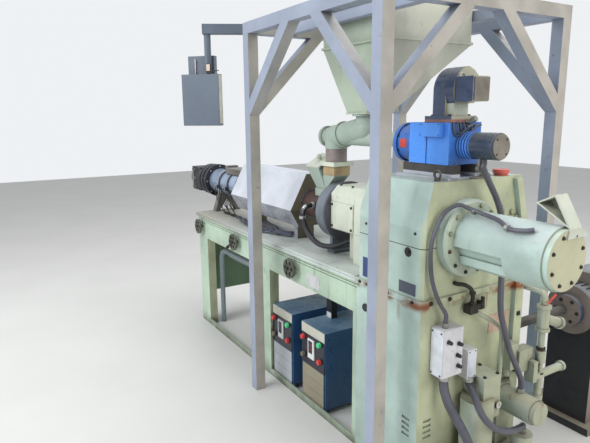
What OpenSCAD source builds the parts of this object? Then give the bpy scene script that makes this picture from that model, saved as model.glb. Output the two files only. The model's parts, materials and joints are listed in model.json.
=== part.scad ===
// Single-line plastic extruder with its hopper frame, feeder, drives and services.
// X runs along the screw towards the drive, -Y is the operator side, Z is up.
// The origin is on the floor, under the middle of the gearbox pedestal.

/* [Base frame] */
// Width of the base frame and of the pedestal across the machine
base_w = 634; // [600:2:680]
// Length of the pedestal under the gearbox
pedestal_len = 424; // [400:2:450]
// Length of the base frame in front of the pedestal
base_len = 2061; // [1980:1:2200]
// Height of the seat on which the deck and the gearbox stand
seat_z = 865; // [840:1:890]
// Thickness of the deck plate
deck_t = 28; // [20:1:34]
// How far the deck runs past the front end post
deck_over = 37; // [20:1:60]
// Thickness of the base frame's plates
side_t = 12; // [8:1:16]
// Depth of the base frame's box posts
post_d = 62; // [50:1:80]
// Width of the front end post and of the middle post
post_w = 164; // [120:1:190]
// Width of the solid strip between the rear window and the pedestal
window_edge = 30; // [20:1:60]
// Height of the band above the side windows
band_h = 157; // [120:1:180]
// Height of the bottom rail under the side windows
rail_h = 40; // [25:1:70]

/* [Gearbox] */
// Height of the flange between pedestal and gearbox
flange_h = 25; // [15:1:35]
// How far that flange stands out of the walls
flange_out = 9; // [4:1:14]
// Height of the lower gearbox half above the seat
lower_h = 245; // [220:1:270]
// Straight height of the upper gearbox half
upper_straight = 78; // [50:1:100]
// Height of the tapered part of the upper half
upper_taper_h = 190; // [150:1:220]
// How far the tapered sides lean in
taper_in = 47; // [20:1:60]

/* [Screw train] */
// Sideways place of the screw axis, towards the operator
axis_off = 80; // [60:1:95]
// Height of the screw axis
axis_z = 1124; // [1118:1:1130]
// Length of the coupling housing in front of the gearbox
coupling_len = 381; // [350:1:400]
// Half width of the coupling housing
coupling_half = 122; // [112:1:130]
// Radius of the round feed flange
feed_flange_r = 158; // [150:1:164]
// Thickness of the round feed flange
feed_flange_t = 100; // [80:1:110]
// Radius of the feed section of the barrel
feed_r = 84; // [78:1:90]
// Length of the feed section
feed_len = 260; // [240:1:290]
// Length of the sheet-metal barrel cover
cover_len = 847; // [780:1:900]
// Radius of the barrel inside the cover
barrel_r = 90; // [88:1:92]
// Radius of the heater shell in front of the cover
shell_r = 98; // [94:1:104]
// Length of the heater shell in front of the cover
shell_len = 565; // [530:1:590]
// Radius of the adapter rings
ring_r = 133; // [125:1:140]
// Length taken by the adapter rings
ring_len = 186; // [170:1:200]
// Side of the square die block
die_side = 196; // [180:2:210]
// Length of the die block
die_len = 265; // [240:1:290]
// Radius of the melt outlet in the die
die_bore_r = 30; // [15:1:45]
// Depth of the melt outlet
die_bore_l = 100; // [60:1:110]

/* [Thrust cylinder] */
// Height of the thrust cylinder's axis above the screw axis
thrust_up = 13; // [6:1:20]
// Radius of the thrust cylinder's base flange
thrust_flange_r = 165; // [155:1:172]
// Thickness of that base flange
thrust_flange_t = 48; // [40:1:56]
// Radius of the thrust cylinder
thrust_r = 120; // [115:1:124]
// Length of the thrust cylinder beyond its base flange
thrust_len = 390; // [360:1:420]
// Radius of the end plate
end_plate_r = 113; // [108:1:114]
// Thickness of the end plate
end_plate_t = 23; // [16:1:32]

/* [Feed] */
// Distance of the feed port from the end of the cover
port_dx = 150; // [140:1:160]
// Distance of the dosing inlet from the feed port
inlet_dx = 83; // [75:1:95]
// Height of the dosing inlet's face above the screw axis
inlet_up = 269; // [260:1:280]
// Radius of the drop sleeve
sleeve_r = 60; // [54:1:62]
// Height of the drop sleeve
sleeve_h = 72; // [60:1:85]
// Radius of the sloping chute
chute_r = 63; // [56:1:70]
// Radius of the horizontal dosing tube
dosing_r = 34; // [28:1:42]

/* [Hopper] */
// Side of the square hopper bin
bin_side = 524; // [480:2:560]
// Height of the hopper bin
bin_h = 320; // [260:1:360]
// How far the joint between the bin and the cone lies below the frame's top
cone_drop = 161; // [150:1:180]
// Height of the cone's outlet
cone_low_z = 1650; // [1640:1:1670]
// Side of the square outlet of the cone
outlet_side = 150; // [136:2:160]
// Thickness of the hopper's sheet
sheet_t = 4; // [3:0.5:6]

/* [Frame over the machine] */
// Length of the steel frame along the machine
gantry_l = 1162; // [1120:2:1220]
// Width of the steel frame across the machine
gantry_w = 1153; // [1120:1:1200]
// Height of the steel frame
gantry_h = 2141; // [2120:1:2170]
// Side of its square tube
tube = 60; // [50:1:66]
// Reach of the knee braces
brace_reach = 430; // [380:1:460]
// Distance of the frame's rear face from the middle of the pedestal
gantry_x1 = 139; // [130:1:150]
// Distance of the frame's operator side from the machine's middle
gantry_front = 492; // [480:1:520]

/* [Control pendant] */
// Length of the swivel arm from its pivot to the drop tube
arm_len = 1245; // [1200:1:1290]
// Angle of the arm away from the operator side, as it stands
arm_deg = 26.2; // [22:0.1:30]
// Side of the arm's square section
arm_side = 58; // [50:1:64]
// Radius of the drop tube
drop_r = 21; // [17:1:24]
// Length of the drop tube below the arm
drop_len = 242; // [220:1:260]
// Width of the control panel
panel_w = 248; // [230:1:265]
// Height of the control panel
panel_h = 318; // [300:1:350]

/* [Feed drive] */
// Height of the feed motor's axis
fm_z = 1521; // [1512:1:1530]
// Width of the feed motor's square body
fm_side = 186; // [170:1:196]
// Length of the feed motor's body
fm_len = 229; // [220:1:240]
// Radius of its left flange
fm_flange_r = 90; // [82:1:98]

/* [Main drive] */
// Distance of the main motor's face from the far side of the frame
dm_gap = 99; // [80:1:140]
// Height of the main motor's axis
dm_z = 640; // [620:1:660]
// Radius of the main motor
dm_r = 130; // [115:1:140]
// Length of the main motor
dm_len = 420; // [380:1:460]

/* [Temperature units] */
// Width of a temperature control unit
unit_w = 240; // [220:1:250]
// Depth of a temperature control unit
unit_d = 430; // [400:1:440]
// Height of a temperature control unit
unit_h = 454; // [420:1:480]
// Height of its feet
unit_foot = 30; // [20:1:40]
// Distance from one unit to the next
unit_step = 345; // [320:1:370]

/* [Hidden] */
$fn = 48;

half_w = base_w / 2;
ped_x0 = -pedestal_len / 2;
ped_x1 = pedestal_len / 2;
base_x0 = ped_x0 - base_len;
deck_z = seat_z + deck_t;
window_w = (base_len - 2 * post_w - window_edge) / 2;
window_h = seat_z - band_h - rail_h;
window_x = [base_x0 + post_w, base_x0 + 2 * post_w + window_w];
gear_z = seat_z + flange_h;
split_z = seat_z + lower_h;
taper_z = split_z + upper_straight;
top_z = taper_z + upper_taper_h;

axis_y = -axis_off;
coupling_x = ped_x0 - coupling_len;
feed_flange_x = coupling_x - feed_flange_t;
cover_x1 = feed_flange_x - feed_len;
cover_x0 = cover_x1 - cover_len;
shell_x0 = cover_x0 - shell_len;
ring_x0 = shell_x0 - ring_len;
die_x0 = ring_x0 - die_len;
port_x = cover_x1 + port_dx;
inlet_x = port_x + inlet_dx;
inlet_z = axis_z + inlet_up;
chute_bulge = 2;
chute_z = inlet_z + sleeve_h + chute_r + chute_bulge;

thrust_z = axis_z + thrust_up;
thrust_x1 = ped_x1 + thrust_flange_t + thrust_len;

gantry_x0 = gantry_x1 - gantry_l;
gantry_y0 = -gantry_front;
gantry_y1 = gantry_y0 + gantry_w;
beam_z = gantry_h - tube;
dm_y = gantry_y1 + dm_gap;
cone_top_z = gantry_h - cone_drop;
hopper_x = (gantry_x0 + gantry_x1) / 2;
hopper_y = (gantry_y0 + gantry_y1) / 2;
outlet_x = hopper_x;
dosing_x0 = outlet_x + chute_r + 12;

pivot_x = gantry_x0 + tube / 2;
pivot_y = gantry_y1 - tube / 2;
pivot_gap = 5;
arm_z = gantry_h + pivot_gap + 4;

fm_x0 = -150;
fm_flange_t = 111;
fm_low = 80;
funnel_back = 58;
hose_x = -815;
hose_z = 1140;
boss_out = 92;
coupling_down = 76;
shell_seat = 14;
fm_rear_l = 64;
chamfer = 16;
column_y = 262;
column_out = 23;
gasket_t = 16;
gasket_over = 10;
pump_base_z = 90;
bowl_z = 185;

cover_mid = 164;
cover_top = 51;
cover_low = 106;
cover_rise = 180;
cover_drop = 136;
cover_knee = -32;
cover_sheet = 4;

band_places = [0.34, 0.62, 0.88];
band_w = 22;
band_t = 5;

scroll_x0 = 86;
scroll_w = 107;
scroll_front = -166;
scroll_top = 1836;
scroll_clear = 30;
scroll_room = scroll_front - gantry_y0 - tube + beam_z - scroll_top - scroll_clear;
end_brace_reach = min(brace_reach, scroll_room);

eps = 0.01;

// A box given by its low and high corners
module block(low, high) {
    translate(low) cube(high - low);
}

// A round bar along X, from x0 to x1
module bar_x(x0, x1, y, z, r) {
    translate([x0, y, z]) rotate([0, 90, 0]) cylinder(r = r, h = x1 - x0);
}

// A round bar along Y, from y0 to y1
module bar_y(x, y0, y1, z, r) {
    translate([x, y0, z]) rotate([-90, 0, 0]) cylinder(r = r, h = y1 - y0);
}

// A point on a smooth curve through four route points
function curve_point(a, b, c, d, t) =
    0.5 * (2 * b + (c - a) * t + (2 * a - 5 * b + 4 * c - d) * t * t
    + (3 * b - a - 3 * c + d) * t * t * t);

// The route with extra points between the given ones, on a smooth curve
function smooth(p, n) = [
    for (i = [0 : len(p) - 2], k = [0 : n - 1])
        curve_point(p[max(i - 1, 0)], p[i], p[i + 1], p[min(i + 2, len(p) - 1)], k / n),
    p[len(p) - 1]];

function unit(v) = v / norm(v);
function heading(p, i) = unit(p[min(i + 1, len(p) - 1)] - p[max(i - 1, 0)]);
function side_of(h) = unit(cross(h, abs(h[2]) > 0.9 ? [1, 0, 0] : [0, 0, 1]));

// The side direction of each ring, carried along the route without twist
function carried(p, i, s) = let (h = heading(p, i)) unit(s - (s * h) * h);
function sides_from(p, i, s) =
    i >= len(p) ? [] : let (c = carried(p, i, s)) concat([c], sides_from(p, i + 1, c));

// A tube of round section along a route
module hose(route, r, n = 8, steps = 3) {
    p = smooth(route, steps);
    s = sides_from(p, 0, side_of(heading(p, 0)));
    m = len(p);
    points = [for (i = [0 : m - 1]) let (h = heading(p, i), v = cross(h, s[i]))
        for (k = [0 : n - 1]) p[i] + r * (cos(360 * k / n) * s[i] + sin(360 * k / n) * v)];
    faces = concat(
        [[for (k = [0 : n - 1]) k]],
        [for (i = [0 : m - 2], k = [0 : n - 1])
            [i * n + k, (i + 1) * n + k, (i + 1) * n + (k + 1) % n, i * n + (k + 1) % n]],
        [[for (k = [n - 1 : -1 : 0]) (m - 1) * n + k]]);
    polyhedron(points, faces);
}

mint = [0.69, 0.78, 0.64];
olive = [0.63, 0.66, 0.45];
cream = [0.80, 0.80, 0.66];
steel = [0.62, 0.65, 0.70];
galvanised = [0.68, 0.69, 0.74];
dark = [0.22, 0.22, 0.24];

// One long side of the base frame: plate with two windows, box posts and a bottom angle.
// It is drawn for the operator side; the far side is its mirror image.
module base_side() {
    post_x = [base_x0, window_x[0] + window_w, window_x[1] + window_w];
    post_l = [post_w, post_w, window_edge];
    lip = 36;
    translate([0, -half_w + side_t, 0]) rotate([90, 0, 0]) linear_extrude(side_t) difference() {
        translate([base_x0, 0]) square([base_len, seat_z]);
        for (x = window_x) translate([x, rail_h]) square([window_w, window_h]);
    }
    for (k = [0 : 2])
        block([post_x[k], -half_w + side_t - eps, 0], [post_x[k] + post_l[k], -half_w + post_d,
            seat_z]);
    block([base_x0, -half_w + side_t - eps, 0], [ped_x0, -half_w + lip, 6]);
    block([base_x0, -half_w + side_t - eps, seat_z - band_h], [ped_x0, -half_w + lip,
        seat_z - band_h + 6]);
}

module base_operator_side() {
    color(mint) base_side();
}

module base_far_side() {
    color(mint) mirror([0, 1, 0]) base_side();
}

// Closed plate between the front end posts, open near the floor
module base_end_wall() {
    gap = 230;
    color(mint) block([base_x0, -half_w + post_d, gap], [base_x0 + side_t, half_w - post_d,
        seat_z]);
}

// Channels across the base under the deck
module base_cross_members() {
    drop = 100;
    l = 50;
    color(mint) for (x = [window_x[0] + window_w + 60, ped_x0 - window_edge - 180])
        difference() {
            block([x, -half_w + (x < -1000 ? post_d : side_t), seat_z - drop],
                [x + l, half_w - (x < -1000 ? post_d : side_t), seat_z]);
            block([x + 8, -half_w, seat_z - drop + 8], [x + l + 1, half_w, seat_z - 8]);
        }
}

module base_deck() {
    groove = 4;
    color(mint) difference() {
        block([base_x0 - deck_over, -half_w - flange_out, seat_z], [ped_x0 - flange_out,
            half_w + flange_out, deck_z]);
        for (s = [-1, 1])
            translate([base_x0 - deck_over - 1, s * (half_w + flange_out) - groove / 2,
                seat_z + deck_t / 2]) cube([base_len + deck_over, groove, groove]);
    }
}

module pedestal() {
    vent_w = 46;
    vent_h = 12;
    color(mint) difference() {
        union() {
            block([ped_x0, -half_w, 0], [ped_x1, half_w, seat_z]);
            block([ped_x1 - 1, column_y, 0], [ped_x1 + column_out, half_w, seat_z]);
        }
        for (k = [0 : 3])
            block([ped_x1 - 90, -half_w - 1, 250 + k * 26], [ped_x1 - 90 + vent_w, -half_w + 8,
                250 + k * 26 + vent_h]);
        for (k = [0 : 3])
            block([ped_x1 - 8, -half_w + 40, 250 + k * 26], [ped_x1 + 1, -half_w + 40 + vent_w,
                250 + k * 26 + vent_h]);
    }
}

module gearbox_lower_housing() {
    color(mint) {
        difference() {
            translate([0, 0, seat_z]) linear_extrude(lower_h) gearbox_plan();
            bar_y(ped_x1 - 86, -half_w - 1, -half_w + 14, split_z - 25, 21);
        }
        block([ped_x1 - 1, column_y, seat_z], [ped_x1 + column_out, half_w - chamfer, split_z]);
        difference() {
            block([ped_x0 - flange_out, -half_w - flange_out, seat_z], [ped_x1 + flange_out,
                half_w + flange_out, gear_z]);
            translate([0, 0, seat_z - 1]) linear_extrude(flange_h + 2)
                offset(delta = -1) gearbox_plan();
        }
    }
}

// Plan of the gearbox, with its corners cut
module gearbox_plan() {
    polygon([[ped_x0 + chamfer, -half_w], [ped_x1 - chamfer, -half_w],
        [ped_x1, -half_w + chamfer], [ped_x1, half_w - chamfer], [ped_x1 - chamfer, half_w],
        [ped_x0 + chamfer, half_w], [ped_x0, half_w - chamfer], [ped_x0, -half_w + chamfer]]);
}

// Outline of the upper housing across the machine
module upper_cross() {
    polygon([[-half_w, split_z], [half_w, split_z], [half_w, taper_z],
        [half_w - taper_in, top_z], [-half_w + taper_in, top_z], [-half_w, taper_z]]);
}

// Outline of the upper housing along the machine
module upper_along() {
    polygon([[ped_x0, split_z], [ped_x1, split_z], [ped_x1, top_z],
        [ped_x0 + taper_in / 2, top_z], [ped_x0, taper_z]]);
}

module gearbox_upper_housing() {
    column_w = half_w - chamfer - column_y;
    color(mint) {
        intersection() {
            translate([ped_x0 - 1, 0, 0]) rotate([90, 0, 90]) linear_extrude(pedestal_len + 2)
                upper_cross();
            translate([0, half_w + 1, 0]) rotate([90, 0, 0]) linear_extrude(base_w + 2)
                upper_along();
            translate([0, 0, split_z]) linear_extrude(top_z - split_z) gearbox_plan();
        }
        translate([ped_x1 - 1, 0, 0]) rotate([90, 0, 90]) linear_extrude(column_out + 1)
            polygon([[column_y, split_z], [column_y + column_w, split_z],
                [column_y + column_w, taper_z], [column_y + column_w - taper_in, top_z - 12],
                [column_y - taper_in, top_z - 12], [column_y, taper_z]]);
    }
}

module thrust_cylinder() {
    pocket = 0.59 * thrust_len;
    bevel = 12;
    shelf_drop = 15;
    inner_r = 92;
    web_y = axis_y - 78;
    x1 = ped_x1 + thrust_flange_t;
    color(mint) difference() {
        union() {
            translate([ped_x1, axis_y, thrust_z]) rotate([0, 90, 0]) rotate_extrude()
                polygon([[0, 0], [thrust_flange_r, 0], [thrust_flange_r, thrust_flange_t - bevel],
                    [thrust_flange_r - bevel, thrust_flange_t], [0, thrust_flange_t]]);
            bar_x(x1 - eps, thrust_x1, axis_y, thrust_z, thrust_r);
        }
        difference() {
            block([x1, axis_y - thrust_r - 10, thrust_z - thrust_r], [x1 + pocket, axis_y - 30,
                thrust_z - shelf_drop]);
            bar_x(x1 - 1, x1 + pocket + 1, axis_y, thrust_z, inner_r);
            block([x1 - 1, web_y, thrust_z - thrust_r - 1], [x1 + pocket + 1, web_y + 10,
                thrust_z - 60]);
        }
    }
}

module cylinder_end_plate() {
    color(olive) bar_x(thrust_x1, thrust_x1 + end_plate_t, axis_y, thrust_z, end_plate_r);
}

// Folded guard over the cylinder's end, bolted to the end plate by its lip
module sensor_bracket() {
    w = 70;
    sheet = 6;
    lip_h = 32;
    x1 = thrust_x1 + end_plate_t;
    y0 = axis_y - 5;
    z1 = thrust_z + end_plate_r - 2;
    color(cream) {
        translate([0, y0 + w, 0]) rotate([90, 0, 0]) {
            linear_extrude(w) difference() {
                polygon([[x1 + sheet, z1], [x1 - 62, z1 + 117], [x1 - 137, z1 + 80]]);
                offset(delta = -sheet)
                    polygon([[x1 + sheet, z1], [x1 - 62, z1 + 117], [x1 - 137, z1 + 80]]);
            }
            linear_extrude(sheet)
                polygon([[x1 + sheet - 2, z1 + 3], [x1 - 62, z1 + 115], [x1 - 134, z1 + 80]]);
        }
        translate([x1, 0, 0]) rotate([90, 0, 90]) linear_extrude(sheet)
            polygon([[y0 - 14, z1 - lip_h], [y0 + w + 42, z1 - lip_h], [y0 + w, z1 + 4],
                [y0, z1 + 4]]);
    }
}

// Outline of the coupling housing, with its corners cut
module coupling_outline() {
    low = axis_z - coupling_down;
    high = axis_z + 156;
    cut = 42;
    polygon([[-coupling_half, low], [coupling_half, low], [coupling_half, high - cut],
        [coupling_half - cut, high], [-coupling_half + cut, high], [-coupling_half, high - cut]]);
}

module coupling_housing() {
    low = axis_z - coupling_down;
    plate_t = 5;
    color(cream) {
        translate([coupling_x, axis_y, 0]) rotate([90, 0, 90])
            linear_extrude(coupling_len) coupling_outline();
        block([coupling_x + 4, axis_y - coupling_half - plate_t, low + 6], [coupling_x + 196,
            axis_y - coupling_half + 1, low + 148]);
        block([coupling_x + 200, axis_y - coupling_half - plate_t + 3, deck_z],
            [coupling_x + 298, axis_y + coupling_half - 4, low + eps]);
        block([coupling_x + 110, axis_y - 78, deck_z], [coupling_x + 176, axis_y + 78, low + eps]);
    }
}

module feed_flange() {
    color(steel) {
        bar_x(feed_flange_x, coupling_x - gasket_t, axis_y, axis_z, feed_flange_r);
        block([feed_flange_x + 10, axis_y - 66, deck_z], [feed_flange_x + 34, axis_y + 66,
            axis_z - feed_flange_r + 24]);
        block([feed_flange_x + 4, axis_y - 82, deck_z], [coupling_x - gasket_t - 6, axis_y + 82,
            deck_z + 14]);
    }
}

// Black sealing ring between the feed flange and the coupling housing
module gasket_ring() {
    color(dark) bar_x(coupling_x - gasket_t, coupling_x, axis_y, axis_z,
        feed_flange_r + gasket_over);
}

module feed_barrel() {
    color([0.32, 0.24, 0.23]) {
        bar_x(cover_x1, feed_flange_x, axis_y, axis_z, feed_r);
        bar_y(hose_x, axis_y - boss_out, axis_y - 40, hose_z, 19);
    }
}

module barrel() {
    color(steel) {
        bar_x(cover_x0, cover_x1, axis_y, axis_z, barrel_r);
        bar_x(shell_x0, cover_x0, axis_y, axis_z, shell_r);
    }
}

// A strap ring round the barrel from x0 over a width w
module strap(x0, w, r_in, r_out) {
    difference() {
        bar_x(x0, x0 + w, axis_y, axis_z, r_out);
        bar_x(x0 - 1, x0 + w + 1, axis_y, axis_z, r_in);
    }
}

module clamp_bands() {
    color(dark) for (k = band_places) {
        x = shell_x0 + shell_len * k;
        strap(x, band_w, shell_r, shell_r + band_t);
        block([x + 3, axis_y - shell_r - 22, axis_z - 34], [x + band_w - 3, axis_y - shell_r - 1,
            axis_z - 8]);
    }
}

// Flat wiring channel along the top of the heater shell, with its terminal block
module terminal_channel() {
    x1 = cover_x0 - 6;
    color([0.34, 0.33, 0.30]) difference() {
        union() {
            block([x1 - 300, axis_y - 62, axis_z + shell_r - shell_seat], [x1, axis_y + 62,
                axis_z + shell_r + 30]);
            block([x1 - 352, axis_y - 44, axis_z + shell_r - shell_seat], [x1 - 299, axis_y + 44,
                axis_z + shell_r + 44]);
        }
        for (k = band_places) {
            x = shell_x0 + shell_len * k;
            bar_x(x, x + band_w, axis_y, axis_z, shell_r + band_t);
        }
        bar_x(shell_x0, cover_x0, axis_y, axis_z, shell_r);
    }
}

// The six-sided outline of the barrel cover
module cover_outline() {
    polygon([[-cover_mid, cover_knee], [-cover_top, cover_rise], [cover_top, cover_rise],
        [cover_mid, cover_knee], [cover_low, -cover_drop], [-cover_low, -cover_drop]]);
}

// The cover's sheet, cut at the knee: above it for the hood, below it for the skirt
module cover_shell(x0, x1, from_z, to_z) {
    intersection() {
        translate([x0, axis_y, axis_z]) rotate([90, 0, 90]) linear_extrude(x1 - x0)
            difference() {
                cover_outline();
                offset(delta = -cover_sheet) cover_outline();
            }
        block([x0 - 1, axis_y - 400, axis_z + from_z], [x1 + 1, axis_y + 400, axis_z + to_z]);
    }
}

module cover_upper() {
    end_t = 4;
    color([0.86, 0.86, 0.88]) {
        cover_shell(cover_x0, cover_x1, cover_knee, cover_rise + 1);
        for (e = [[cover_x0, shell_r], [cover_x1 - end_t, feed_r]])
            intersection() {
                difference() {
                    translate([e[0], axis_y, axis_z]) rotate([90, 0, 90]) linear_extrude(end_t)
                        cover_outline();
                    bar_x(e[0] - 1, e[0] + end_t + 1, axis_y, axis_z, barrel_r);
                }
                block([cover_x0 - 1, axis_y - 400, axis_z + cover_knee],
                    [cover_x1 + 1, axis_y + 400, axis_z + 400]);
            }
    }
}

module cover_lower() {
    end_t = 4;
    color([0.55, 0.55, 0.56]) {
        cover_shell(cover_x0, cover_x1, -cover_drop - 1, cover_knee);
        for (x = [cover_x0, cover_x1 - end_t])
            intersection() {
                difference() {
                    translate([x, axis_y, axis_z]) rotate([90, 0, 90]) linear_extrude(end_t)
                        cover_outline();
                    bar_x(x - 1, x + end_t + 1, axis_y, axis_z, barrel_r);
                }
                block([cover_x0 - 1, axis_y - 400, axis_z - 400],
                    [cover_x1 + 1, axis_y + 400, axis_z + cover_knee]);
            }
        for (x = [cover_x0 + 90, cover_x1 - 130])
            block([x, axis_y - 60, deck_z], [x + 40, axis_y + 60, axis_z - cover_drop]);
    }
}

// Saddle and splayed legs that carry the barrel's front end on the deck
module barrel_support() {
    spread = 92;
    leg = 17;
    depth = 56;
    x = max(base_x0 - deck_over + 24, shell_x0 + 20);
    low = axis_z - shell_r;
    color([0.35, 0.34, 0.33]) difference() {
        translate([x, axis_y, 0]) rotate([90, 0, 90]) linear_extrude(depth) {
            polygon([[-60, low + 22], [60, low + 22], [70, low - 14], [spread + leg, deck_z],
                [spread - leg, deck_z], [0, low - 26], [-spread + leg, deck_z],
                [-spread - leg, deck_z], [-70, low - 14]]);
        }
        bar_x(x - 1, x + depth + 1, axis_y, axis_z, shell_r);
    }
}

module adapter_rings() {
    ring_t = 44;
    gap = 24;
    color(dark) {
        bar_x(ring_x0, shell_x0, axis_y, axis_z, ring_r - 30);
        bar_x(ring_x0, ring_x0 + ring_t, axis_y, axis_z, ring_r - 6);
        bar_x(ring_x0 + ring_t + gap, ring_x0 + 2 * ring_t + gap, axis_y, axis_z, ring_r - 3);
        bar_x(shell_x0 - ring_t, shell_x0, axis_y, axis_z, ring_r);
    }
}

module die_block() {
    h = die_side / 2;
    nose = 70;
    color(dark) difference() {
        union() {
            block([die_x0 + nose, axis_y - h, axis_z - h], [ring_x0, axis_y + h, axis_z + h]);
            bar_x(die_x0, die_x0 + nose + eps, axis_y, axis_z, h - 26);
            bar_x(die_x0 + 20, die_x0 + 52, axis_y, axis_z, h - 8);
        }
        bar_x(die_x0 - 1, die_x0 + die_bore_l, axis_y, axis_z, die_bore_r);
    }
}

// The sloping rim of the funnel, drawn across the machine at a thickness t
module funnel_rim(x_half, t) {
    z = inlet_z - 45;
    translate([port_x - funnel_back - x_half, axis_y, z]) rotate([90, 0, 90])
        linear_extrude(2 * x_half) polygon([[-66, 0], [50, 68], [50 - 0.5 * t, 68 + 0.86 * t],
            [-66 - 0.5 * t, 0.86 * t]]);
}

// Casting over the feed port with a covered funnel and the leg from the dosing inlet
module throat_yoke() {
    base = 104;
    neck_z = axis_z + feed_r + 26;
    plate = 2;
    color(mint) difference() {
        union() {
            block([port_x - base / 2, axis_y - base / 2, axis_z], [port_x + base / 2,
                axis_y + base / 2, neck_z]);
            hull() {
                block([port_x - 45, axis_y - 45, neck_z - plate], [port_x + 45, axis_y + 45,
                    neck_z]);
                funnel_rim(62, plate);
            }
            hull() {
                block([port_x - 30, axis_y - 45, neck_z - plate], [port_x + 45, axis_y + 45,
                    neck_z]);
                block([inlet_x - 50, axis_y - 50, inlet_z - 77], [inlet_x + 56, axis_y + 50,
                    inlet_z - 75]);
            }
        }
        bar_x(port_x - 200, port_x + 300, axis_y, axis_z, feed_r);
        bar_x(feed_flange_x, port_x + 300, axis_y, axis_z, feed_flange_r);
    }
}

// Sloping lid of the funnel, with its knob
module funnel_lid() {
    color(cream) {
        translate([0, -0.5, 0.87]) translate([0, -0.5 * 1.15, 0.86 * 1.15]) funnel_rim(69, 10);
        translate([port_x - funnel_back, axis_y - 8, inlet_z - 3]) rotate([30, 0, 0]) {
            cylinder(r = 9, h = 22);
            translate([0, 0, 27]) sphere(r = 15);
        }
    }
}

module inlet_flange() {
    color(cream) block([inlet_x - 66, axis_y - 66, inlet_z - 24], [inlet_x + 70, axis_y + 66,
        inlet_z]);
}

// Rusty block between the yoke's leg and the inlet flange
module inlet_block() {
    color([0.48, 0.33, 0.22]) block([inlet_x - 50, axis_y - 54, inlet_z - 75],
        [inlet_x + 56, axis_y + 54, inlet_z - 24]);
}

module drop_sleeve() {
    color([0.55, 0.50, 0.47]) translate([inlet_x, axis_y, inlet_z])
        cylinder(r = sleeve_r, h = sleeve_h);
}

// Sloping tube from the hopper outlet down to the drop sleeve, with its end cap
module chute_tube() {
    low = [inlet_x, axis_y, chute_z];
    neck = chute_r + chute_bulge + 5;
    high = [outlet_x, axis_y, cone_low_z - neck];
    run = high - low;
    tilt = 90 - atan2(run[2], run[0]);
    color(mint) {
        translate(low) sphere(r = chute_r + chute_bulge);
        translate(high) sphere(r = chute_r + chute_bulge);
        translate(low) rotate([0, tilt, 0]) cylinder(r = chute_r, h = norm(run));
        translate(low) rotate([0, tilt, 0]) translate([0, 0, 70]) cylinder(r = chute_r + 7, h = 16);
        translate(high) cylinder(r = chute_r, h = neck - 8);
        translate([outlet_x, axis_y, cone_low_z - 10])
            cylinder(r = outlet_side / 2 + 6, h = 10);
        translate([inlet_x, axis_y, inlet_z + sleeve_h])
            cylinder(r = chute_r, h = chute_r + chute_bulge);
        bar_x(inlet_x - 74, inlet_x, axis_y, chute_z, 50);
        bar_x(inlet_x - 94, inlet_x - 72, axis_y, chute_z, 58);
        bar_x(inlet_x, dosing_x0, axis_y, chute_z, dosing_r + 8);
    }
}

module dosing_tube() {
    color(mint) {
        bar_x(dosing_x0, fm_x0, axis_y, chute_z, dosing_r);
        bar_x(fm_x0 - 14, fm_x0, axis_y, chute_z, 70);
    }
}

// A square slab of side s and height h round a middle point
module slab(x, y, z, s, h) {
    translate([x - s / 2, y - s / 2, z]) cube([s, s, h]);
}

module hopper_cone() {
    color(mint) difference() {
        union() {
            hull() {
                slab(hopper_x, hopper_y, cone_top_z - 1, bin_side, 1);
                slab(outlet_x, axis_y, cone_low_z, outlet_side, 1);
            }
            slab(outlet_x, axis_y, cone_low_z, outlet_side + 14, 8);
        }
        hull() {
            slab(hopper_x, hopper_y, cone_top_z - 1, bin_side - 2 * sheet_t, 2);
            slab(outlet_x, axis_y, cone_low_z - 1, outlet_side - 2 * sheet_t, 2);
        }
    }
}

module hopper_bin() {
    rim = 26;
    lug = 66;
    color(mint) difference() {
        union() {
            slab(hopper_x, hopper_y, cone_top_z, bin_side, bin_h);
            slab(hopper_x, hopper_y, cone_top_z, bin_side + 16, 12);
            slab(hopper_x, hopper_y, cone_top_z + bin_h - 8, bin_side + 2 * rim, 8);
            block([hopper_x - bin_side / 2, hopper_y - bin_side / 2 - lug, gantry_h],
                [hopper_x + bin_side / 2, hopper_y + bin_side / 2 + lug, gantry_h + 6]);
        }
        slab(hopper_x, hopper_y, cone_top_z - 1, bin_side - 2 * sheet_t, bin_h + 2);
    }
}

// Two tubes between the side beams, on which the bin's flanges rest
module hopper_carriers() {
    t = 50;
    color(galvanised) for (s = [-1, 1]) {
        y = hopper_y + s * (bin_side / 2 + 8 + t / 2);
        block([gantry_x0 + tube, y - t / 2, gantry_h - t], [gantry_x1 - tube, y + t / 2,
            gantry_h]);
    }
}

// Square-bodied motor with a bell end shield and a ribbed rear end
module feed_motor() {
    body_x = fm_x0 + fm_flange_t;
    h = fm_side / 2;
    rear_x = body_x + fm_len;
    rib = 7;
    color([0.12, 0.34, 0.72]) {
        bar_x(fm_x0, fm_x0 + 20, axis_y, fm_z, fm_flange_r);
        bar_x(fm_x0 + 19, body_x - 9, axis_y, fm_z, fm_flange_r - 8);
        bar_x(body_x - 10, body_x + 1, axis_y, fm_z, fm_flange_r - 18);
        block([body_x, axis_y - h, fm_z - fm_low], [body_x + 100, axis_y + h, fm_z + h]);
        block([body_x + 99, axis_y - h + 5, fm_z - fm_low + 4], [body_x + 107, axis_y + h - 5,
            fm_z + h - 4]);
        block([body_x + 106, axis_y - h, fm_z - fm_low], [rear_x, axis_y + h, fm_z + h]);
        bar_x(rear_x - 1, rear_x + fm_rear_l, axis_y, fm_z, 50);
        for (k = [0 : 3])
            bar_x(rear_x + 4 + k * 2 * rib, rear_x + 4 + (2 * k + 1) * rib, axis_y, fm_z, 56);
        block([body_x + 85, axis_y - h - 26, fm_z + 35], [rear_x - 30, axis_y - h + 1,
            fm_z + h - 2]);
    }
}

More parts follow.
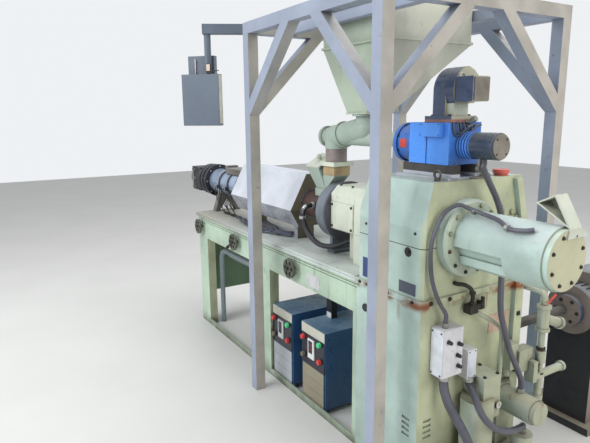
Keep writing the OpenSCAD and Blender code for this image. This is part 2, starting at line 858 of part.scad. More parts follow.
module feed_motor_brake() {
    x0 = fm_x0 + fm_flange_t + fm_len + fm_rear_l;
    color(dark) {
        bar_x(x0, x0 + 108, axis_y, fm_z, 54);
        bar_x(x0 + 107, x0 + 116, axis_y, fm_z, 50);
    }
}

// Rails under the feed motor, on the gearbox top
module motor_rails() {
    low = top_z;
    high = fm_z - fm_low;
    x0 = fm_x0 + fm_flange_t - 40;
    color([0.42, 0.36, 0.32]) {
        for (s = [-1, 1])
            block([x0, axis_y + s * 66 - 22, low + 12], [ped_x1, axis_y + s * 66 + 22, high]);
        block([x0 - 30, axis_y - 104, low], [ped_x1 - 10, axis_y + 104, low + 12 + eps]);
    }
}

// Snail-shaped fan housing with its duct down to the motor
module blower_scroll() {
    x0 = scroll_x0;
    w = scroll_w;
    low = fm_z + fm_side / 2;
    front = scroll_front;
    back = scroll_front + 148;
    top = scroll_top;
    r = 96;
    color([0.2, 0.22, 0.26]) {
        translate([x0, 0, 0]) rotate([90, 0, 90]) linear_extrude(w) intersection() {
            polygon([[front, low + 76], [back - 24, low + 76], [back, low + 110],
                [back, top - 40], [back - 30, top - 14], [back - 62, top], [front, top]]);
            translate([front + r, top - r]) circle(r = r + 0.6, $fn = 72);
        }
        block([x0, front, low + 25], [x0 + 66, front + 96, top - r]);
        block([x0 - 36, front - 8, low], [x0 + w + 4, front + 136, low + 26]);
    }
}

// Light collar beside the duct
module blower_neck() {
    low = fm_z + fm_side / 2;
    color(cream) block([scroll_x0 + 66, scroll_front + 12, low + 26],
        [scroll_x0 + 102, scroll_front + 96, low + 76]);
}

module blower_motor() {
    x0 = scroll_x0 + scroll_w;
    y = scroll_front + 52;
    z = scroll_top - 93;
    h = 48;
    color([0.2, 0.22, 0.26]) {
        bar_x(x0, x0 + 8, y, z, 40);
        block([x0 + 7, y - h + 2, z - h], [x0 + 92, y + h - 2, z + h]);
        block([x0 + 91, y - h + 6, z - h + 4], [x0 + 98, y + h - 6, z + h - 4]);
    }
}

module oil_filler() {
    color([0.8, 0.2, 0.12]) translate([ped_x1 - 36, 176, top_z]) {
        cylinder(r = 30, h = 12);
        translate([0, 0, 11]) cylinder(r = 36, h = 16);
    }
}

module lifting_eyes() {
    color(steel) for (y = [-212, 60]) translate([ped_x1 - 40, y, top_z]) {
        cylinder(r = 13, h = 10);
        translate([0, 0, 27]) rotate([90, 0, 0]) rotate_extrude() translate([17, 0])
            circle(r = 5, $fn = 24);
    }
}

module junction_boxes() {
    big = [70, 116, 212];
    small = [73, 56, 132];
    color([0.88, 0.88, 0.84]) translate([ped_x1, -250, 558]) cube(big);
    color([0.75, 0.76, 0.78]) translate([ped_x1, -101, 518]) cube(small);
}

// Lead clipped over the thrust cylinder, the hoses at the boxes and the leads along the deck
module conduits() {
    lead_r = 9;
    over_cylinder = [[590, -158, 1243], [560, -172, 1236], [500, -176, 1233], [430, -150, 1252],
        [350, -140, 1262], [290, -150, 1276], [262, -190, 1290], [240, -246, 1250],
        [234, -288, 1160], [234, -296, 1080], [238, -284, 980], [246, -250, 890],
        [252, -212, 830], [252, -212, 800], [252, -212, 770]];
    to_base = [[252, -206, 558], [252, -206, 540], [252, -206, 520], [262, -208, 480],
        [284, -200, 425], [312, -180, 366], [334, -156, 306], [352, -136, 240], [360, -130, 160],
        [360, -130, 125], [360, -130, pump_base_z]];
    to_bowl = [[268, -71, 518], [268, -71, 503], [268, -71, 488], [318, -84, 452],
        [376, -108, 406], [400, -77, 356], [400, -8, 306], [392, 84, 268], [366, 190, 238],
        [346, 230, 222], [342, 234, 208], [342, 234, 197], [342, 234, bowl_z]];
    from_motor = [[290, -80, fm_z - 54], [290, -80, fm_z - 72], [290, -80, fm_z - 90],
        [284, -30, 1370], [277, 40, 1280], [276, 82, 1180], [282, 88, 1040], [300, 66, 920],
        [318, 52, 810], [320, 80, 728], [325, 114, 632], [330, 166, 534], [333, 205, 462],
        [333, 212, 430], [333, 212, 410], [333, 212, 390]];
    color(dark) hose(over_cylinder, lead_r);
    color(dark) hose(to_base, 20);
    color([0.55, 0.56, 0.6]) hose(to_bowl, 15);
    color([0.55, 0.56, 0.6]) hose(from_motor, 13);
    color(dark) for (y = [-24, 0, 24]) {
        z = deck_z + 9;
        hose([[cover_x0 + 130, axis_y + y, z], [cover_x0 + 160, axis_y + y, z],
            [cover_x0 + 190, axis_y + y, z], [-1500, -110 + y, z], [-1390, -120 + 1.1 * y, z],
            [-1250, -160 + 1.2 * y, z], [-1170, -128 + y, z], [cover_x1 - 190, axis_y + y, z],
            [cover_x1 - 160, axis_y + y, z], [cover_x1 - 130, axis_y + y, z]], 9);
    }
}

// Hose from the feed barrel in a loop to the block under the coupling housing
module feed_hose() {
    block_x = coupling_x + 110;
    start_y = axis_y - boss_out;
    loop = [[hose_x, start_y, hose_z], [hose_x, start_y - 20, hose_z],
        [hose_x, start_y - 40, hose_z], [-818, -238, 1122], [-816, -246, 1085],
        [-785, -242, 1012], [-715, -236, 960], [-640, -224, 942], [-575, -190, 950],
        [-530, -142, 976], [-510, -120, 985], [-498, -120, 985], [block_x, -120, 985]];
    color(dark) hose(loop, 15);
}

// Base, oil tank, manifold block and filter bowl of the lubrication pump
module pump_unit() {
    tank_x = ped_x1 + 78;
    tank_y = -30;
    color([0.55, 0.62, 0.53]) {
        difference() {
            block([ped_x1, -160, 60], [ped_x1 + 175, 320, pump_base_z]);
            block([ped_x1 - 1, column_y, 59], [ped_x1 + column_out, 321, pump_base_z + 1]);
        }
        translate([tank_x, tank_y, pump_base_z - eps]) cylinder(r = 72, h = 326);
        block([ped_x1, -40, 416 - eps], [ped_x1 + 118, 70, 520]);
        block([ped_x1, 166, pump_base_z - eps], [ped_x1 + 38, 256, 400]);
        translate([ped_x1 + 130, 226, pump_base_z - eps]) cylinder(r = 46, h = 70);
        translate([ped_x1 + 130, 226, 150]) cylinder(r = 52, h = bowl_z - 150);
    }
    color(dark) {
        block([ped_x1, 56, 300], [ped_x1 + 100, 98, 400]);
        bar_x(ped_x1 + 99, ped_x1 + 112, 76, 362, 18);
    }
}

module pump_motor() {
    color([0.62, 0.66, 0.6]) {
        bar_x(ped_x1 + 38, ped_x1 + 206, 210, 330, 60);
        bar_x(ped_x1 + 205, ped_x1 + 230, 210, 330, 52);
    }
}

// Valve block, pipes and strainer beside the pump
module pipework() {
    x = ped_x1 + 88;
    color(mint) {
        block([ped_x1, 206, 470], [ped_x1 + 62, 258, 600]);
        block([ped_x1 + column_out, 250, 450], [ped_x1 + 76, 350, 560]);
        translate([ped_x1 + 30, 222, 432]) cylinder(r = 17, h = 40);
        hose([[ped_x1, -20, 800], [ped_x1 + 12, -20, 800], [ped_x1 + 24, -20, 800],
            [ped_x1 + 50, 40, 762], [ped_x1 + 64, 96, 724], [ped_x1 + 68, 120, 684],
            [ped_x1 + 68, 122, 600], [ped_x1 + 68, 122, 480], [ped_x1 + 68, 116, 450],
            [ped_x1 + 68, 96, 444], [ped_x1 + 68, 84, 444], [ped_x1 + 68, 70, 444]], 11);
        bar_y(x, 349, 562, 414, 19);
        block([ped_x1 + 60, 320, 395], [x + 20, 350, 500]);
        bar_y(x, 556, 572, 414, 25);
        translate([x, 390, 300]) cylinder(r = 19, h = 114);
        translate([x, 390, 290]) cylinder(r = 25, h = 24);
        translate([x, 390, 414]) cylinder(r = 15, h = 236);
        translate([x, 390, 480]) cylinder(r = 24, h = 60);
        translate([x, 390, 646]) cylinder(r = 27, h = 116);
        translate([x, 390, 640]) cylinder(r = 33, h = 14);
        translate([x, 390, 752]) cylinder(r = 33, h = 14);
        translate([x, 395, 700]) rotate([-112, 0, 0]) {
            cylinder(r = 23, h = 128);
            translate([0, 0, 120]) cylinder(r = 30, h = 20);
        }
        hose([[x, 390, 764], [x, 390, 782], [x, 390, 800], [x - 14, 384, 826], [x - 56, 366, 838],
            [x - 110, 352, 840], [x - 140, 340, 840], [x - 142, 332, 840], [x - 142, 325, 840],
            [x - 142, half_w, 840]], 15);
    }
}

module drive_motor() {
    x = 205;
    color(dark) {
        bar_y(x, dm_y, dm_y + dm_len, dm_z, dm_r);
        block([x - 70, dm_y + 90, dm_z + dm_r - 20], [x + 90, dm_y + 260, dm_z + dm_r + 60]);
    }
    color([0.5, 0.49, 0.48]) bar_y(x, dm_y - 34, dm_y + 1, dm_z, dm_r * 0.62);
}

module drive_stand() {
    x = 205;
    low = dm_z - dm_r;
    color([0.42, 0.41, 0.40]) difference() {
        block([x - 120, dm_y + 20, 40], [x + 130, dm_y + dm_len - 20, low + 60]);
        bar_y(x, dm_y, dm_y + dm_len, dm_z, dm_r);
    }
    color(olive) block([x - 220, dm_y - 25, 0], [x + 170, dm_y + dm_len + 40, 40 + eps]);
}

module drive_shaft() {
    x = 185;
    color(steel) {
        bar_y(x, half_w, dm_y - 34, dm_z, 24);
        bar_y(x, half_w, half_w + 26, dm_z, 27);
    }
}

// Two cabinets of temperature control units, on feet
module temperature_units() {
    front = -half_w + side_t + 6;
    bezel = 5;
    color([0.15, 0.30, 0.50]) for (k = [0 : 1]) {
        x = window_x[1] + k * unit_step;
        block([x, front + bezel, unit_foot], [x + unit_w, front + unit_d, unit_foot + unit_h]);
        block([x + 3, front, unit_foot + 0.56 * unit_h], [x + unit_w - 3, front + bezel + eps,
            unit_foot + unit_h]);
        block([x + 10, front, unit_foot + 6], [x + unit_w - 10, front + bezel + eps,
            unit_foot + 0.54 * unit_h]);
        for (dx = [20, unit_w - 50], dy = [18, unit_d - 50])
            block([x + dx, front + dy, 0], [x + dx + 30, front + dy + 30, unit_foot + eps]);
    }
    color(dark) block([window_x[1] + unit_step + 24, front + 160, unit_foot + unit_h - eps],
        [window_x[1] + unit_step + 72, front + 200, unit_foot + unit_h + 130]);
}

// Pipe from the floor and its hose to the underside of the deck
module cooling_pipe() {
    y = -200;
    x0 = window_x[0] - 6;
    up = [[x0, y, 0], [x0, y, 300], [x0, y, 520], [x0 + 22, y, 582], [x0 + 80, y, 604],
        [x0 + 180, y, 604]];
    along = [[x0 + 180, y, 604], [x0 + 420, y, 604], [x0 + 600, y, 618], [x0 + 700, y, 700],
        [x0 + 724, y, 800], [x0 + 724, y, 840], [x0 + 724, y, seat_z]];
    color(mint) hose(up, 20);
    color(dark) hose(along, 24);
}

module gantry_posts() {
    color(galvanised) for (x = [gantry_x0, gantry_x1 - tube], y = [gantry_y0, gantry_y1 - tube])
        block([x, y, 0], [x + tube, y + tube, beam_z]);
}

module gantry_beams() {
    color(galvanised) for (y = [gantry_y0, gantry_y1 - tube])
        block([gantry_x0, y, beam_z], [gantry_x1, y + tube, gantry_h]);
}

module gantry_side_beams() {
    color(galvanised) for (x = [gantry_x0, gantry_x1 - tube])
        block([x, gantry_y0 + tube, beam_z], [x + tube, gantry_y1 - tube, gantry_h]);
}

// Side view of a knee brace: from the post's face up to the beam's underside
module brace_outline(reach) {
    h = tube * sqrt(2);
    polygon([[0, -reach], [reach, 0], [reach - h, 0], [0, h - reach]]);
}

// Braces along the frame, and across its ends, where they stay clear of the blower
module gantry_braces() {
    color(galvanised) {
        for (y = [gantry_y0, gantry_y1 - tube], s = [0, 1])
            translate([s == 0 ? gantry_x0 + tube : gantry_x1 - tube, y, beam_z])
                mirror([s, 0, 0]) translate([0, tube, 0]) rotate([90, 0, 0])
                    linear_extrude(tube) brace_outline(brace_reach);
        for (x = [gantry_x0, gantry_x1 - tube], s = [0, 1])
            translate([x, s == 0 ? gantry_y0 + tube : gantry_y1 - tube, beam_z])
                mirror([0, s, 0]) rotate([90, 0, 90]) linear_extrude(tube)
                    brace_outline(end_brace_reach);
    }
}

// Spoked wheels on the band of the operator side
module valve_wheels() {
    zc = seat_z - band_h / 2 + 8;
    rim_r = 58;
    rim_y = -half_w - 28;
    color([0.45, 0.45, 0.42])
        for (x = [base_x0 + 0.4 * post_w, window_x[0] + 0.65 * window_w, window_x[1]
            + 0.35 * window_w]) {
            bar_y(x, rim_y, -half_w, zc, 14);
            difference() {
                bar_y(x, rim_y - 12, rim_y + 0.3, zc, rim_r);
                for (a = [0 : 60 : 300])
                    translate([x + 34 * cos(a), rim_y + 1, zc + 34 * sin(a)]) rotate([90, 0, 0])
                        cylinder(r = 13, h = 14, $fn = 24);
            }
        }
}

// Pivot on top of the frame's far front post
module pendant_post() {
    color(steel) translate([pivot_x, pivot_y, gantry_h]) {
        cylinder(r = 28, h = arm_z - gantry_h - 0.3);
        cylinder(r = 12, h = arm_z - gantry_h + arm_side + 6);
    }
}

module pendant_arm() {
    pin_clear = 0.08;
    color([0.35, 0.38, 0.42]) translate([pivot_x, pivot_y, 0]) rotate([0, 0, -arm_deg]) {
        difference() {
            block([-arm_side / 2, -arm_len - arm_side / 2, arm_z],
                [arm_side / 2, 40, arm_z + arm_side]);
            translate([0, 0, arm_z - 1]) cylinder(r = 12 + pin_clear, h = arm_side + 2);
        }
        translate([0, -arm_len, arm_z - drop_len]) cylinder(r = drop_r, h = drop_len + eps);
    }
}

module pendant_panel() {
    top = arm_z - drop_len;
    depth = 32;
    shift = 48;
    color([0.36, 0.39, 0.44]) translate([pivot_x, pivot_y, 0]) rotate([0, 0, -arm_deg])
        translate([0, -arm_len, 0]) rotate([0, 0, 71]) {
            block([-panel_w / 2 - shift, -depth, top - panel_h], [panel_w / 2 - shift, depth, top]);
            block([-panel_w / 2 - shift + 24, 26, top - 8], [panel_w / 2 - shift - 46, 70, top + 116]);
        }
}

base_operator_side();
base_far_side();
base_end_wall();
base_cross_members();
base_deck();
pedestal();
gearbox_lower_housing();
gearbox_upper_housing();
thrust_cylinder();
cylinder_end_plate();
sensor_bracket();
coupling_housing();
feed_flange();
feed_barrel();
barrel();
clamp_bands();
terminal_channel();
cover_upper();
cover_lower();
barrel_support();
adapter_rings();
die_block();
gasket_ring();
throat_yoke();
funnel_lid();
inlet_flange();
inlet_block();
drop_sleeve();
chute_tube();
dosing_tube();
hopper_cone();
hopper_bin();
hopper_carriers();
feed_motor();
feed_motor_brake();
motor_rails();
blower_scroll();
blower_neck();
blower_motor();
oil_filler();
lifting_eyes();
feed_hose();
junction_boxes();
conduits();
pump_unit();
pump_motor();
pipework();
drive_motor();
drive_stand();
drive_shaft();
temperature_units();
cooling_pipe();
gantry_posts();
gantry_beams();
gantry_side_beams();
gantry_braces();
valve_wheels();
pendant_post();
pendant_arm();
pendant_panel();
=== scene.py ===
import json
import math
import random

import bmesh
import bpy
from mathutils import Matrix, Vector


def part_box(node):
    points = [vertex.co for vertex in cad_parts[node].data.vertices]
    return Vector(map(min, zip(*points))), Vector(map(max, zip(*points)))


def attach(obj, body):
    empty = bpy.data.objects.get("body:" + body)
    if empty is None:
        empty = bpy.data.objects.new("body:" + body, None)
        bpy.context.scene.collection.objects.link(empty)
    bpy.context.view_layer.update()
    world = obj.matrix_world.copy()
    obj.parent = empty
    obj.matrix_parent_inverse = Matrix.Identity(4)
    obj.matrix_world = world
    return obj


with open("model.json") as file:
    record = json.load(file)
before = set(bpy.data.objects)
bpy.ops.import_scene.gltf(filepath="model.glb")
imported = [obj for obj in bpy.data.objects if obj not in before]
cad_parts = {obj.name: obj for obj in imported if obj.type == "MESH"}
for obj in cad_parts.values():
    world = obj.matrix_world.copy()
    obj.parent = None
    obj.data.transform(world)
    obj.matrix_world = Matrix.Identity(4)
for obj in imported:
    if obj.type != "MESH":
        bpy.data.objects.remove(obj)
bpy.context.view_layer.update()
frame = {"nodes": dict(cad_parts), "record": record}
MACHINE = "machine"
PENDANT = "pendant"


def add_camera():
    """Puts the camera where the photograph was taken from."""
    focal_px, photo_width_px = 532.7, 590
    yaw, pitch, roll = math.radians(58.87), math.radians(11.27), math.radians(-0.56)
    place = Vector((1.725, -1.831, 1.648))
    ahead = Vector((-math.sin(yaw) * math.cos(pitch), math.cos(yaw) * math.cos(pitch), -math.sin(pitch)))
    right = Vector((math.cos(yaw), math.sin(yaw), 0))
    up = right.cross(ahead)
    right, up = right * math.cos(roll) + up * math.sin(roll), up * math.cos(roll) - right * math.sin(roll)
    data = bpy.data.cameras.new("photo_camera")
    data.sensor_width = 36
    data.lens = focal_px / photo_width_px * data.sensor_width
    camera = bpy.data.objects.new("photo_camera", data)
    bpy.context.collection.objects.link(camera)
    turn = Matrix((right, up, -ahead)).transposed()
    camera.matrix_world = Matrix.Translation(place) @ turn.to_4x4()
    bpy.context.scene.camera = camera


# Materials: each is a node tree built from the same few steps

class Shader:
    """A material under construction, with short calls for the steps that most of them share."""

    def __init__(self, name, rough=0.5, metallic=0.0):
        self.material = bpy.data.materials.new(name)
        self.material.use_nodes = True
        self.nodes = self.material.node_tree.nodes
        self.links = self.material.node_tree.links
        self.surface = self.nodes["Principled BSDF"]
        self.surface.inputs["Roughness"].default_value = rough
        self.surface.inputs["Metallic"].default_value = metallic
        self.place = self.nodes.new("ShaderNodeTexCoord").outputs["Object"]
        self.heights = []

    def noise(self, scale, detail=4.0, stretch=(1, 1, 1), rough=0.55):
        spread = self.nodes.new("ShaderNodeMapping")
        spread.inputs["Scale"].default_value = stretch
        self.links.new(self.place, spread.inputs["Vector"])
        noise = self.nodes.new("ShaderNodeTexNoise")
        noise.inputs["Scale"].default_value = scale
        noise.inputs["Detail"].default_value = detail
        noise.inputs["Roughness"].default_value = rough
        self.links.new(spread.outputs["Vector"], noise.inputs["Vector"])
        return noise.outputs["Fac"]

    def cells(self, scale):
        cells = self.nodes.new("ShaderNodeTexVoronoi")
        cells.inputs["Scale"].default_value = scale
        self.links.new(self.place, cells.inputs["Vector"])
        return cells.outputs["Distance"]

    def ramp(self, value, low, high, to_low=0.0, to_high=1.0):
        step = self.nodes.new("ShaderNodeMapRange")
        step.interpolation_type = "SMOOTHSTEP"
        step.inputs["From Min"].default_value = low
        step.inputs["From Max"].default_value = high
        step.inputs["To Min"].default_value = to_low
        step.inputs["To Max"].default_value = to_high
        self.links.new(value, step.inputs["Value"])
        return step.outputs["Result"]

    def math(self, how, a, b):
        step = self.nodes.new("ShaderNodeMath")
        step.operation = how
        for socket, value in zip(step.inputs, (a, b)):
            if isinstance(value, (int, float)):
                socket.default_value = value
            else:
                self.links.new(value, socket)
        return step.outputs["Value"]

    def axis(self, name):
        split = self.nodes.new("ShaderNodeSeparateXYZ")
        self.links.new(self.place, split.inputs["Vector"])
        return split.outputs[name]

    def band(self, name, middle, half, soft):
        """1 near a place along an axis, 0 away from it."""
        off = self.math("ABSOLUTE", self.math("SUBTRACT", self.axis(name), middle), 0)
        return self.ramp(off, half + soft, half)

    def corners(self, reach=0.04):
        """1 in each corner and under edges, 0 in the open: painted shade, found by ambient occlusion."""
        shade = self.nodes.new("ShaderNodeAmbientOcclusion")
        shade.samples = 4
        shade.inputs["Distance"].default_value = reach
        return self.ramp(shade.outputs["AO"], 0.85, 0.35)

    def facing(self, axis="Z", low=0.3, high=0.9):
        """1 where the surface faces along an axis."""
        towards = self.nodes.new("ShaderNodeNewGeometry")
        split = self.nodes.new("ShaderNodeSeparateXYZ")
        self.links.new(towards.outputs["Normal"], split.inputs["Vector"])
        return self.ramp(split.outputs[axis], low, high)

    def mix(self, amount, first, second):
        step = self.nodes.new("ShaderNodeMix")
        step.data_type = "RGBA"
        if isinstance(amount, (int, float)):
            step.inputs["Factor"].default_value = amount
        else:
            self.links.new(amount, step.inputs["Factor"])
        for socket, value in zip((step.inputs["A"], step.inputs["B"]), (first, second)):
            if isinstance(value, tuple):
                socket.default_value = (*value, 1)
            else:
                self.links.new(value, socket)
        return step.outputs["Result"]

    def colour(self, value):
        self.links.new(value, self.surface.inputs["Base Color"])

    def roughness(self, value):
        self.links.new(value, self.surface.inputs["Roughness"])

    def raise_by(self, value, metres):
        self.heights.append((value, metres))

    def done(self, soft_edge=0.0):
        normal = None
        if soft_edge:
            bevel = self.nodes.new("ShaderNodeBevel")
            bevel.samples = 4
            bevel.inputs["Radius"].default_value = soft_edge
            normal = bevel.outputs["Normal"]
        for value, metres in self.heights:
            bump = self.nodes.new("ShaderNodeBump")
            bump.inputs["Distance"].default_value = metres
            self.links.new(value, bump.inputs["Height"])
            if normal:
                self.links.new(normal, bump.inputs["Normal"])
            normal = bump.outputs["Normal"]
        if normal:
            self.links.new(normal, self.surface.inputs["Normal"])
        return self.material


def linear(r, g, b):
    """A colour as read on a screen, 0 to 255, turned into shader values."""
    return tuple((c / 255 / 12.92) if c <= 10 else ((c / 255 + 0.055) / 1.055) ** 2.4 for c in (r, g, b))


DIRT_AND_SHADE = linear(74, 66, 50)
DUST = linear(176, 172, 158)
RUST = linear(132, 74, 40)
OIL_AND_SHADE = linear(46, 44, 38)


def painted(name, colour, rough=0.42, patch=0.12, dirt_and_shade=0.35, dust_and_top_light=0.25, rust_at=None, rust=0.0, low_dirt=0.0,
            streaks=0.0, side_wear_and_shading=None, seam_at=None, below=None, top_dust_and_light_tone=DUST, low_from=0.45,
            side=("X", 0.45, 0.85)):
    """Worn machine paint: patchy tone, dirty spots, painted shade in each corner, a dusty top with painted
    light on some looks, rust where asked.

    The side tone is that of the faces that side names: yellowed paint on the drive side, and on some looks
    painted light there, on others painted shade.
    below is an axis, the place on it where another tone starts, the place where it is full, and that tone.
    seam_at is the height of a fine dark joint line, and rust_at that of a seam that rusts."""
    s = Shader(name, rough)
    dark = tuple(c * (1 - 2 * patch) for c in colour)
    light = tuple(min(1, c * (1 + patch)) for c in colour)
    tone = s.mix(s.ramp(s.noise(2.3, 5), 0.35, 0.65), dark, light)
    tone = s.mix(s.ramp(s.noise(38, 3), 0.58, 0.8, 0, 0.35), tone, dark)
    # Faces along one axis take the side tone, which is yellowed paint on some looks, painted light on others
    # and painted shade on a few.
    if side_wear_and_shading:
        side_tone = s.mix(s.ramp(s.noise(4, 5), 0.35, 0.7), side_wear_and_shading, tuple(c * 0.7 for c in side_wear_and_shading))
        tone = s.mix(s.facing(*side), tone, side_tone)
    if below:
        axis, start, full, other = below
        tone = s.mix(s.ramp(s.axis(axis), start, full), tone, other)
    if seam_at:
        split = s.math("MULTIPLY", s.band("Z", seam_at, 0.001, 0.0015), s.ramp(s.axis("X"), 0.2285, 0.2275))
        tone = s.mix(split, tone, OIL_AND_SHADE)
    # Painted shade: each corner and the undersides of edges are darkened towards the dark brown-grey tone,
    # broken up by noise.
    corner_shade_and_grime = s.math("MULTIPLY", s.corners(), s.ramp(s.noise(9, 5), 0.3, 0.65, 0.35, 1))
    tone = s.mix(s.math("MULTIPLY", corner_shade_and_grime, dirt_and_shade * 1.6), tone, DIRT_AND_SHADE)
    spots = s.ramp(s.noise(14, 6, rough=0.7), 0.62, 0.72, 0, dirt_and_shade)
    tone = s.mix(spots, tone, DIRT_AND_SHADE)
    if streaks:
        run = s.ramp(s.noise(7, 4, stretch=(4, 4, 0.35)), 0.56, 0.75, 0, streaks)
        tone = s.mix(run, tone, DIRT_AND_SHADE)
    if low_dirt:
        low = s.math("MULTIPLY", s.ramp(s.axis("Z"), low_from, 0.0), s.ramp(s.noise(5, 5), 0.3, 0.6, 0.4, 1))
        tone = s.mix(s.math("MULTIPLY", low, low_dirt), tone, DIRT_AND_SHADE)
    # Faces that look up turn paler: a dusty film, and on some looks painted light on their tops.
    if dust_and_top_light:
        top = s.math("MULTIPLY", s.facing(), s.ramp(s.noise(6, 5), 0.3, 0.7, 0.3, 1))
        tone = s.mix(s.math("MULTIPLY", top, dust_and_top_light), tone, top_dust_and_light_tone)
    if rust_at is not None:
        seam = s.math("MULTIPLY", s.band("Z", rust_at, 0.006, 0.03), s.ramp(s.noise(11, 6), 0.45, 0.62))
        runs = s.math("MULTIPLY", s.band("Z", rust_at - 0.03, 0.03, 0.05),
                      s.ramp(s.noise(9, 5, stretch=(3, 3, 0.3)), 0.55, 0.75, 0, 0.7))
        spread = s.math("MULTIPLY", s.math("MAXIMUM", seam, runs), s.ramp(s.axis("X"), -0.3, -0.2))
        tone = s.mix(spread, tone, RUST)
    if rust:
        tone = s.mix(s.ramp(s.noise(17, 6, rough=0.7), 0.66 - 0.12 * rust, 0.74 - 0.12 * rust), tone, RUST)
    s.colour(tone)
    s.roughness(s.ramp(s.noise(21, 4), 0.3, 0.75, rough - 0.1, rough + 0.25))
    s.raise_by(s.noise(70, 3), 0.0004)
    s.raise_by(s.noise(6, 3), 0.0015)
    return s.done(0.002)


def metal(name, colour, rough=0.4, metallic=0.7, brushed=None, rust=0.0, dirt_and_shade=0.4, side_wear_and_shading=None,
          stain=0.6):
    """Bare or blued metal with stains and, along a direction, fine brushing."""
    s = Shader(name, rough, metallic)
    dark = tuple(c * stain for c in colour)
    tone = s.mix(s.ramp(s.noise(7, 5), 0.35, 0.7), colour, dark)
    # Faces along +X take the side tone; on the cover this is painted shade.
    if side_wear_and_shading:
        tone = s.mix(s.facing("X", 0.6, 0.95), tone, side_wear_and_shading)
    # Painted shade in each corner and under edges, mixed towards the dark oily tone.
    tone = s.mix(s.math("MULTIPLY", s.corners(0.03), dirt_and_shade), tone, OIL_AND_SHADE)
    if rust:
        tone = s.mix(s.ramp(s.noise(15, 6, rough=0.7), 0.68 - 0.25 * rust, 0.8 - 0.25 * rust), tone, RUST)
    if brushed:
        grain = s.noise(160, 2, stretch=brushed)
        s.raise_by(grain, 0.0003)
        tone = s.mix(s.ramp(grain, 0.3, 0.7, 0, 0.25), tone, dark)
    s.colour(tone)
    s.roughness(s.ramp(s.noise(12, 5), 0.3, 0.7, rough - 0.1, rough + 0.2))
    s.raise_by(s.noise(45, 4), 0.0005)
    return s.done(0.0015)


def plastic(name, colour, rough=0.4, dirt_and_shade=0.3, edge=0.002):
    """Slightly mottled plastic or rubber with painted shade in each corner and a few dirty spots."""
    s = Shader(name, rough)
    dark = tuple(c * 0.72 for c in colour)
    tone = s.mix(s.ramp(s.noise(8, 5), 0.35, 0.7), colour, dark)
    # Painted shade in each corner.
    tone = s.mix(s.math("MULTIPLY", s.corners(0.02), dirt_and_shade), tone, DIRT_AND_SHADE)
    tone = s.mix(s.ramp(s.noise(30, 5), 0.62, 0.72, 0, dirt_and_shade), tone, DIRT_AND_SHADE)
    s.colour(tone)
    s.raise_by(s.noise(220, 2), 0.0001)
    return s.done(edge)


def perforated(name, colour):
    """Sheet with rows of small dark holes."""
    s = Shader(name, 0.45, 0.5)
    holes = s.ramp(s.cells(85), 0.28, 0.2)
    tone = s.mix(s.ramp(s.noise(9, 5), 0.35, 0.7), colour, tuple(c * 0.6 for c in colour))
    tone = s.mix(holes, tone, linear(36, 36, 38))
    # The +X faces are brown-grey: painted shade for the dark inside of the cover's open end.
    s.colour(s.mix(s.facing("X", 0.6, 0.95), tone, linear(112, 104, 88)))
    s.raise_by(s.cells(85), 0.001)
    return s.done(0.0015)


def glow(name, colour, strength):
    """A lit lamp or display, with a slightly mottled lens."""
    s = Shader(name, 0.25)
    tone = s.mix(s.ramp(s.noise(90, 2), 0.3, 0.7), colour, tuple(c * 0.7 for c in colour))
    s.colour(tone)
    s.links.new(tone, s.surface.inputs["Emission Color"])
    s.surface.inputs["Emission Strength"].default_value = strength
    return s.done()


